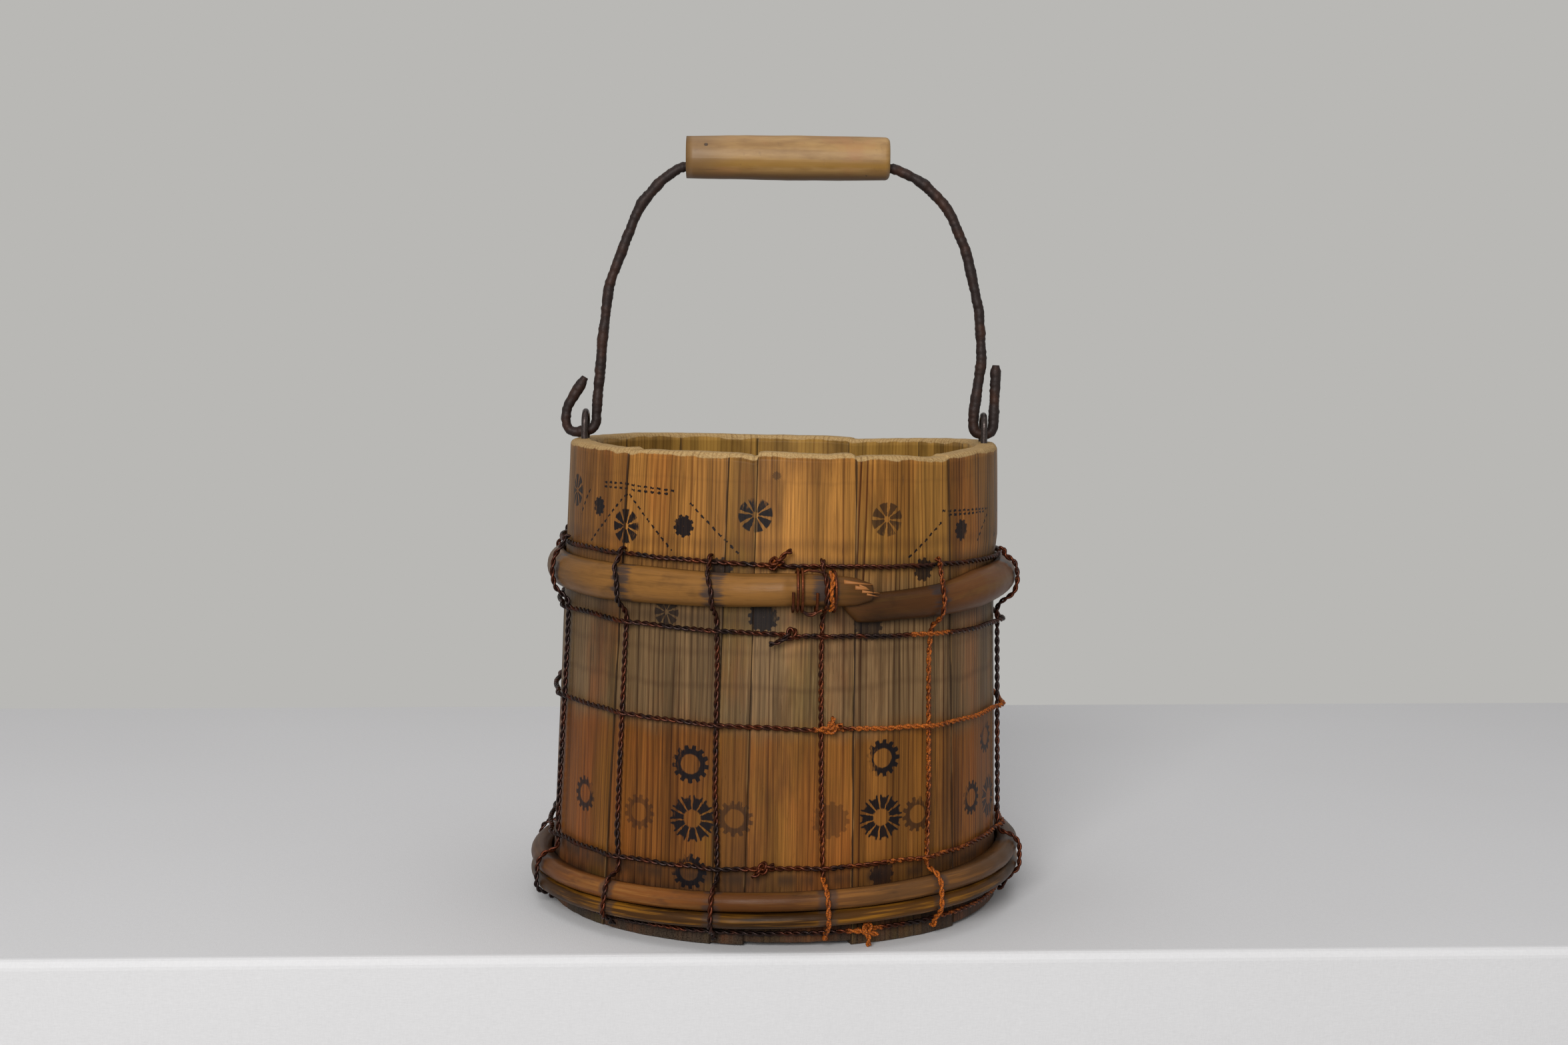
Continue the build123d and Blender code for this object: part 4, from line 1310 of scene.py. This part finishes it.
def make_tie(index, material):
    """An upright tie of twisted wire, wandering a little between the hoops."""
    points = [place(tie_turn(index, level), radius, level) for radius, level in tie_route(index)]
    path = rounded(points, [wire_bend] * len(points), strand_step)
    bm = strands(twined(path, index * 1.3), strand_radius)

    def rust_at(turn, level):
        low = 0.55 if index in (3, 4) and level < 0.036 else 0
        return tie_rust[index] + low + 0.35 * wander(80 + index, level * 30)

    rust_layer(bm, rust_at)
    name = f"tie_wire_{index + 1:02d}"
    return piece_from(bm, f"twisted_{name}", material, "bucket", [name])


def ring_point(index, angle, raise_by):
    """Corner of a ring wire, raised off the staves by a length."""
    level = ring_levels[index]
    level = level - fall(angle, outside(level), ring_tilts[index])
    half_step = math.radians(ring_step_angle) / 2
    return place(angle, against_staves(level) / math.cos(half_step) + raise_by, level)


def ring_corner_angles(index):
    """Angles of the corners of a ring and how far each is raised, once round."""
    over = rings_over_ties[index]
    room = hump_reach_angle if over else 0
    corners = []
    turns = [tie_turn(tie, ring_levels[index]) for tie in range(len(tie_angles))]
    for tie, following in zip(turns, turns[1:] + [turns[0] + 360]):
        if over:
            corners.append((tie - hump_top_angle, wire_past))
            corners.append((tie + hump_top_angle, wire_past))
        low = tie + room
        high = following - room
        steps = math.ceil((high - low) / ring_step_angle)
        for step in range(steps + over):
            corners.append((low + (high - low) * step / steps, 0))
    return corners


def knot_paths(index, knot):
    """The loose end of a ring, wound once round it and left as a short curl."""
    centre = ring_point(index, knot, 0)
    outwards = place(knot, 1, 0)
    sideways = place(knot + 90, 1, 0)
    tail_side, tail_up = knot_tails[index]
    turns = [
        (-0.0040, 0.0000, 0.0000),
        (0.0006, 0.0030, -0.0016),
        (0.0024, 0.0034, 0.0024),
        (-0.0004, 0.0012, 0.0042),
        (-0.0016, 0.0040, 0.0004),
        (tail_side * 0.35, 0.0044, tail_up * 0.35),
        (tail_side * 0.72, 0.0030, tail_up * 0.90),
        (tail_side, 0.0034, tail_up),
    ]
    points = [centre + sideways * side + outwards * out + Vector((0, 0, up)) for side, out, up in turns]
    return twined(rounded(points, [knot_bend] * len(points), knot_step), index * 0.7)


def ring_points(index, knot, way):
    """Corners of a ring from its knot round to the knot again, and its loose tail."""
    knot_room = hump_reach_angle + knot_leads[index]
    inner = []
    for angle, height in ring_corner_angles(index):
        turned = (way * (angle - knot)) % 360
        if hump_top_angle < turned < 360 - knot_room:
            inner.append((turned, height))
    lead = knot_leads[index]
    corners = [(0, 0), *sorted(inner)]
    corners += [(hump_top_angle - hump_reach_angle - lead, 0), (-lead, wire_past)]
    points = [ring_point(index, knot + way * turned, height) for turned, height in corners]
    tail = ring_point(index, knot + way * ring_tail_angle, wire_past)
    return points + [tail + Vector((0, 0, ring_tails[index]))]


# Rusty stretches of some rings: strength, then the angles where they start and end
ring_stretches = {
    1: (0.85, 31, 34, 48, 44),
    2: (0.90, 15, 19, 120, 100),
    3: (0.55, 13, 20, 110, 90),
    4: (0.6, 38, 44, 100, 80),
}


def make_ring(index, material):
    """A ring of twisted wire that ends in a wound knot and a short tail."""
    knot = ring_knots[index]
    way = ring_turns[index]
    points = ring_points(index, knot, way)
    wavy = []
    for point in evenly(rounded(points, [foot_radius] * len(points), strand_step), ring_wave_step):
        wavy.append(point + Vector((0, 0, ring_wave * wander(90 + index, turn_of(point) * 0.12))))
    bm = strands(twined(wavy, index * 2.1) + knot_paths(index, knot), strand_radius)

    def rust_at(angle, level):
        near_knot = knot_rust[index] * smooth(7.0, 2.0, abs(nearest_turn(angle, knot) - knot))
        amount, start, full, end, waning = ring_stretches.get(index, (0, 0, 1, 0, 1))
        stretch = amount * smooth(start, full, angle) * smooth(end, waning, angle)
        return max(near_knot, stretch, 0.05) + 0.25 * wander(100 + index, angle * 0.2)

    rust_layer(bm, rust_at)
    name = f"ring_wire_{index + 1}"
    return piece_from(bm, f"twisted_{name}", material, "bucket", [name])


def make_lap_wire(material):
    """The loose wires between the two lashings and the lumpy strand beside them."""
    level, half, back, thick = pole_outside_at(8.0)
    paths = []
    for height, sag in ((half + 0.0011, 0.0012), (-half - 0.0009, -0.0030), (-half - 0.0014, -0.0016)):
        path = []
        for step in range(cross_wire_steps + 1):
            part = step / cross_wire_steps
            angle = cross_wire_start + cross_wire_run * part
            rise = sag * math.sin(math.pi * part) + 0.0006 * wander(140, part * 4, height * 900)
            path.append(place(angle, back + thick * 0.45 + 0.0010, level + height + rise))
        paths.append(path)
    front = []
    for step in range(side_strand_steps + 1):
        part = step / side_strand_steps
        rise = half * (1.15 - 2.3 * part)
        bulge = math.sqrt(max(0, 1 - (rise / half / 1.22) ** 2))
        angle = side_strand_angle + 0.25 * math.sin(part * 9)
        front.append(place(angle, back + thick * bulge + 0.0017, level + rise))
    paths += twined(front, 0.4)
    bm = strands(paths, strand_radius)
    rust_layer(bm, lambda angle, height: 0.85 * smooth(9.4, 10.0, angle) + 0.15)
    return piece_from(bm, "lap_cross_wire", material, "bucket")


def wire_material(name, scale, rust, skin_tone, brown_tone, gloss=0.9):
    """Old wire, its rust given by a number or, without one, by the mesh."""
    material, sheet = new_look(name)
    amount = sheet.attribute("rust", "Fac") if rust is None else rust
    iron = sheet.group(rust_group, sheet.object_place(), scale, amount, gloss, skin_tone, brown_tone)
    relief = (iron["Height"], 0.0002, 0.6)
    shader = finish_look(material, sheet, iron["Colour"], iron["Roughness"], relief, iron_gloss)
    sheet.feed(shader.inputs["Metallic"], iron["Metal"])
    return material


# Bail, eyes and grip

def hook_points(side, shares, size):
    """Corners of a hook of the bail, measured from its eye and the hinge line."""
    middle = side * eye_place
    return [Vector((middle + size[0] * x, 0, hinge_height + size[1] * z)) for x, z in shares]


def arch_points(shares, leave, eye):
    """Corners of one shoulder of the bail, between the grip and an eye."""
    return [Vector((leave + (eye - leave) * x, 0, hinge_height + bail_rise * z)) for x, z in shares]


def make_bail(material):
    """The bail, a pitted rod, knobbly with rust."""
    left_exit = Vector((grip_left - bail_exit_room, 0, bore_height))
    right_exit = Vector((grip_right + bail_exit_room, 0, bore_height))
    left = arch_points(left_arch_shares, left_exit.x, -eye_place)
    left += hook_points(-1, left_hook_shares, left_hook_size)
    right = arch_points(right_arch_shares, right_exit.x, eye_place)
    right += hook_points(1, right_hook_shares, right_hook_size)
    points = list(reversed(left)) + [left_exit, right_exit] + right
    limits = [bail_bend] * (len(left) - 1) + [bail_exit_bend] * 2 + [bail_bend] * len(right)
    path = evenly(rounded(points, limits, 0.001), bail_step)
    last = len(path) - 1

    def radius_at(index, point):
        hidden = grip_left - 0.001 < point.x < grip_right + 0.001 and point.z > bore_height - 0.01
        lumps = bail_lumps * wander(110, *(point * 150)) + bail_pits * wander(111, *(point * 620))
        worn = 1 - 0.35 * smooth(5, 0, min(index, last - index))
        return bail_radius * worn * (0.97 if hidden else 1.09 + lumps)

    bm = skin(tube_rows(path, radius_at, 20))
    return piece_from(bm, "rusty_bail", material, "bail", ["bail"])


def make_eye(side, name, material):
    """One eye, a staple driven into the rim, a little hammered."""
    half = eye_inside / 2 + eye_wire_radius
    shoulder = eye_top - eye_wire_radius - half
    x = side * eye_place
    path = [Vector((x, -half, eye_foot + (shoulder - eye_foot) * part / 20)) for part in range(20)]
    for part in range(31):
        turn = math.pi * part / 30
        path.append(Vector((x, -half * math.cos(turn), shoulder + half * math.sin(turn))))
    path += [Vector((x, half, shoulder - (shoulder - eye_foot) * part / 20)) for part in range(1, 21)]

    def radius_at(index, point):
        return eye_wire_radius * (0.98 + 0.05 * wander(120, *(point * 400)))

    bm = skin(tube_rows(path, radius_at, 16))
    return piece_from(bm, f"worn_{name}", material, "bucket", [name])


def make_grip(material):
    """The grip, turned, with its bore below its middle and handled ends."""
    columns = 72
    bore_centre = Vector((0, 0, bore_height))
    body_centre = Vector((0, 0, grip_middle))

    def ring(x, centre, radius, uneven):
        points = []
        for column in range(columns):
            turn = math.tau * column / columns
            away = Vector((0, math.cos(turn), math.sin(turn)))
            lump = grip_swell * wander(130, x * 40, turn * 0.9)
            lump += grip_ripple * wander(131, x * 160, turn * 4)
            points.append(Vector((x, 0, 0)) + centre + away * (radius + uneven * lump))
        return points

    def barrel(share):
        spot = share * (len(grip_radius_shares) - 1)
        low = min(len(grip_radius_shares) - 2, int(spot))
        part = spot - low
        return grip_radius * (grip_radius_shares[low] * (1 - part) + grip_radius_shares[low + 1] * part)

    def end_rows(x, inwards, share, curve):
        rows = [ring(x + inwards * bore_lip, bore_centre, bore_radius, 0)]
        rows.append(ring(x, bore_centre, bore_radius + bore_lip, 0))
        rim = barrel(share) - grip_end_round
        for inset in (0.35, 0.7):
            radius = bore_radius + (rim - bore_radius) * inset
            rows.append(ring(x, bore_centre.lerp(body_centre, inset), radius + 0.0006, 0.4))
        for step in range(7):
            turn = math.pi / 2 * step / 6
            inset = inwards * grip_end_round * (1 - curve(turn))
            rows.append(ring(x + inset, body_centre, rim + grip_end_round * math.sin(turn), 1))
        return rows

    rows = end_rows(grip_left, 1, 0, math.sin)
    steps = 60
    for step in range(1, steps):
        share = step / steps
        x = grip_left + grip_end_round + (grip_right - grip_left - 2 * grip_end_round) * share
        rows.append(ring(x, body_centre, barrel(share), 1))
    rows += reversed(end_rows(grip_right, -1, 1, math.cos))
    for step in range(1, 9):
        rows.append(ring(grip_right + (grip_left - grip_right) * step / 9, bore_centre, bore_radius, 0))
    rows.append(rows[0])
    bm = skin(rows, ring_closed=True)
    return piece_from(bm, "handled_grip", material, "grip", ["grip"])


def grip_material():
    """Pale handled wood with a yellow band, dark hairlines and worm holes, and painted shade on its
    underside.
    """
    material, sheet = new_look("grip_wood")
    where = sheet.object_place()
    x, y, z = where.split()
    grain = sheet.group(grain_group, sheet.join(z, y, x), 7.3, 0.0052)
    clouds = where.drawn((26, 120, 120), 4.0, 0.6)
    base = sheet.blend(clouds.step(0.38, 0.66), colour(151, 117, 68), colour(126, 93, 50))
    rosy = where.patches(3.0, 34.0, 0.48, 0.66)
    base = base.under(rosy * 0.5, 148, 100, 58)
    sway = (clouds - 0.5) * 0.006
    band = abs(z - (bore_height + 0.0012) + sway).fade(0.0006, 0.0030)
    base = base.under(band * 0.75, 138, 100, 32)
    # Darker below the bore: painted shade on the grip's underside
    under = (z + sway).fade(bore_height - 0.0062, bore_height - 0.0020)
    base = base.under(under * 0.75, 78, 53, 36)
    left_end = (x + sway).step(grip_left + 0.004, grip_left + 0.030, 0.65, 0.0)
    base = base.under(left_end, 100, 72, 44)
    base = base.under(grain["Lines"] * 0.28, 106, 76, 44)
    hair = where.drawn((14, 900, 900))
    base = base.under(hair.step(0.66, 0.73) * 0.7, 66, 44, 26)
    cells = sheet.add("ShaderNodeTexVoronoi", {"Vector": where, "Scale": 95.0}, "Distance")
    rare = where.noise(60.0, 1.0)
    holes = cells.fade(0.08, 0.13) * rare.step(0.44, 0.52)
    base = base.under(holes * 0.9, 46, 29, 17)
    dirt = where.patches(8.0, 240.0, 0.60, 0.72)
    base = base.under(dirt * 0.3, 94, 66, 40)
    rough = (clouds * 0.2 + 0.46).held()
    finish_look(material, sheet, base, rough, (grain["Height"] - holes * 4.0, 0.00020, 0.5))
    return material


def plank_material():
    """Dry and dusty floor of the pail."""
    material, sheet = new_look("floor_wood")
    where = sheet.object_place()
    x, y, z = where.split()
    grain = sheet.group(grain_group, sheet.join(x, z, y), 4.1, 0.0041)
    clouds = where.noise(34.0, 5.0, 0.6)
    base = sheet.blend(clouds.step(0.35, 0.65), colour(98, 75, 44), colour(70, 51, 31))
    base = base.under(grain["Lines"] * 0.55, 64, 44, 26)
    base = base.under(grain["Fibre"].step(0.4, 0.7) * 0.3, 52, 38, 26)
    reach = sheet.add("ShaderNodeVectorMath", {0: sheet.join(x, y, 0.0)}, "Value", operation="LENGTH")
    base = base.under((reach + clouds * 0.012).step(0.094, 0.112) * 0.8, 44, 33, 24)
    rough = (clouds * 0.2 + 0.6).held()
    finish_look(material, sheet, base, rough, (grain["Height"], 0.00025, 0.6))
    return material


def pin_material():
    """Bare bamboo of the hidden pins."""
    material, sheet = new_look("pin_wood")
    fibres = sheet.object_place().drawn((300, 300, 2000))
    base = sheet.blend(fibres, colour(150, 122, 76), colour(186, 158, 106))
    finish_look(material, sheet, base, fibres * 0.2 + 0.5)
    return material


# Table, backdrop, light and camera
table_front = -0.1355
table_back = 0.5625
table_half_width = 1.8
front_slant = 0.064
back_slant = 0.081
table_drop = 0.6
photo_width = 2352
lens_pixels = 3158.6
camera_place = Vector((0.0004, -1.150, 0.305))
camera_pitch = 5.12
camera_roll = 0.6


def cloth_material():
    """Pale linen on the table."""
    material, sheet = new_look("table_linen")
    where = sheet.object_place()
    both = (where.drawn((1500, 300, 300)) + where.drawn((300, 1500, 1500))) * 0.5
    base = sheet.blend(both, colour(194, 194, 196), colour(214, 214, 216))
    base = base.under(where.noise(5.0) * 0.18, 186, 184, 184)
    finish_look(material, sheet, base, 0.9, (both, 0.0004, 0.4))
    return material


def make_table():
    """The table's top and front drop, with a soft front edge."""
    bm = bmesh.new()
    bmesh.ops.create_cube(bm, size=1)
    bmesh.ops.scale(bm, vec=(2 * table_half_width, table_back - table_front, table_drop), verts=bm.verts)
    bmesh.ops.translate(bm, vec=(0, (table_back + table_front) / 2, -table_drop / 2), verts=bm.verts)
    for vertex in bm.verts:
        vertex.co.y += vertex.co.x * (front_slant if vertex.co.y < 0 else back_slant)
    bevel(bm, [e for e in bm.edges if all(v.co.z > -0.001 and v.co.y < 0.2 for v in e.verts)], 0.005, 5)
    mesh = bpy.data.meshes.new("table")
    bm.to_mesh(mesh)
    bm.free()
    mesh.materials.append(cloth_material())
    table = bpy.data.objects.new("table", mesh)
    bpy.context.scene.collection.objects.link(table)
    table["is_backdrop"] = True


def make_world():
    """Soft light from all round and a pale grey wall behind the table."""
    world = bpy.data.worlds.new("studio")
    bpy.context.scene.world = world
    world.use_nodes = True
    sheet = Sheet(world.node_tree)
    output = [node for node in world.node_tree.nodes if node.bl_idname == "ShaderNodeOutputWorld"][0]
    light = sheet.add("ShaderNodeBackground", {"Color": (1.0, 0.99, 0.98, 1), "Strength": 0.40})
    wall = sheet.add("ShaderNodeBackground", {"Color": colour(185, 184, 181), "Strength": 1.0})
    path = sheet.add("ShaderNodeLightPath").outputs()
    seen = (path["Is Camera Ray"] + path["Is Glossy Ray"]).held()
    seen = (seen + path["Is Transmission Ray"]).held()
    sheet.feed(output.inputs[0], sheet.add("ShaderNodeMixShader", {0: seen, 1: light, 2: wall}))


def add_lamp(name, position, size, power, tint):
    """A soft square lamp that faces the pail."""
    data = bpy.data.lights.new(name, "AREA")
    data.size = size
    data.energy = power
    data.color = tint
    lamp = bpy.data.objects.new(name, data)
    aim = Vector((0, 0, 0.16)) - Vector(position)
    lamp.matrix_world = Matrix.Translation(position) @ aim.to_track_quat("-Z", "Y").to_matrix().to_4x4()
    bpy.context.scene.collection.objects.link(lamp)


def make_camera():
    """A camera at the photograph's place."""
    data = bpy.data.cameras.new("camera")
    data.sensor_fit = "HORIZONTAL"
    data.lens = data.sensor_width * lens_pixels / photo_width
    data.clip_start = 0.01
    camera = bpy.data.objects.new("camera", data)
    tilt = Matrix.Rotation(math.radians(90 - camera_pitch), 4, "X")
    roll = Matrix.Rotation(math.radians(camera_roll), 4, "Z")
    camera.matrix_world = Matrix.Translation(camera_place) @ tilt @ roll
    bpy.context.scene.collection.objects.link(camera)
    bpy.context.scene.camera = camera


def dress():
    """Makes every piece."""
    for index in range(len(stave_angles)):
        make_stave(index)
    tan_tones = (colour(127, 87, 42), colour(94, 58, 29), colour(100, 68, 32), colour(62, 42, 25))
    red_tones = (colour(113, 67, 29), colour(98, 66, 37), colour(136, 90, 44), colour(46, 35, 27))
    ochre_tones = (colour(64, 39, 13), colour(76, 47, 16), colour(146, 97, 27), colour(26, 18, 10))
    pale_tones = (colour(150, 98, 54),) * 3 + (colour(96, 60, 32),)
    make_upper_hoop(hoop_material("upper_hoop_wood", tan_tones, 0.8, 1.0, upper_hoop_tone_and_shade))
    make_splinters(hoop_material("splintered_wood", pale_tones, 0.0, 2.0, even_shades))
    strip_wood = hoop_material("red_strip_wood", red_tones, 0.6, 3.0, upper_strip_tone_and_shade)
    make_strip(True, "lower_hoop_upper_strip", strip_wood)
    strip_wood = hoop_material("ochre_strip_wood", ochre_tones, 0.6, 5.0, lower_strip_tone_and_shade)
    make_strip(False, "lower_hoop_lower_strip", strip_wood)
    black = colour(44, 33, 31)
    tie_iron = wire_material("tie_iron", 420.0, None, black, colour(84, 40, 20))
    for index in range(len(tie_angles)):
        make_tie(index, tie_iron)
    for index in range(len(ring_levels)):
        make_ring(index, tie_iron)
    make_lap_wire(wire_material("cross_wire_iron", 420.0, None, black, colour(96, 48, 22)))
    make_bail(wire_material("bail_iron", 420.0, -0.02, colour(42, 32, 30), colour(62, 39, 29), 0.3))
    eye_iron = wire_material("eye_iron", 260.0, -0.25, colour(74, 66, 64), colour(80, 62, 52))
    make_eye(-1, "bail_eye_left", eye_iron)
    make_eye(1, "bail_eye_right", eye_iron)
    make_grip(grip_material())
    lashing_iron = wire_material("lashing_iron", 420.0, 0.32, black, colour(100, 50, 22))
    for material, names in (
        (lashing_iron, ("lap_lashing_left", "lap_lashing_right")),
        (plank_material(), ("floor_plank_left", "floor_plank_middle", "floor_plank_right")),
        (pin_material(), ("stave_pins", "floor_pins")),
    ):
        for name in names:
            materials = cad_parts[name].data.materials
            materials.clear()
            materials.append(material)


make_camera()
make_world()
make_table()
add_lamp("window", (-0.45, -2.4, 1.15), 1.1, 62.0, (1.0, 0.99, 0.97))
add_lamp("ceiling", (0.0, 0.1, 2.0), 1.6, 9.0, (1.0, 1.0, 1.0))
dress()
bpy.context.scene.view_settings.view_transform = "Standard"

for name, corners in (("cad", cad_box), ("visual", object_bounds())):
    {name: [list(corner) for corner in corners]}
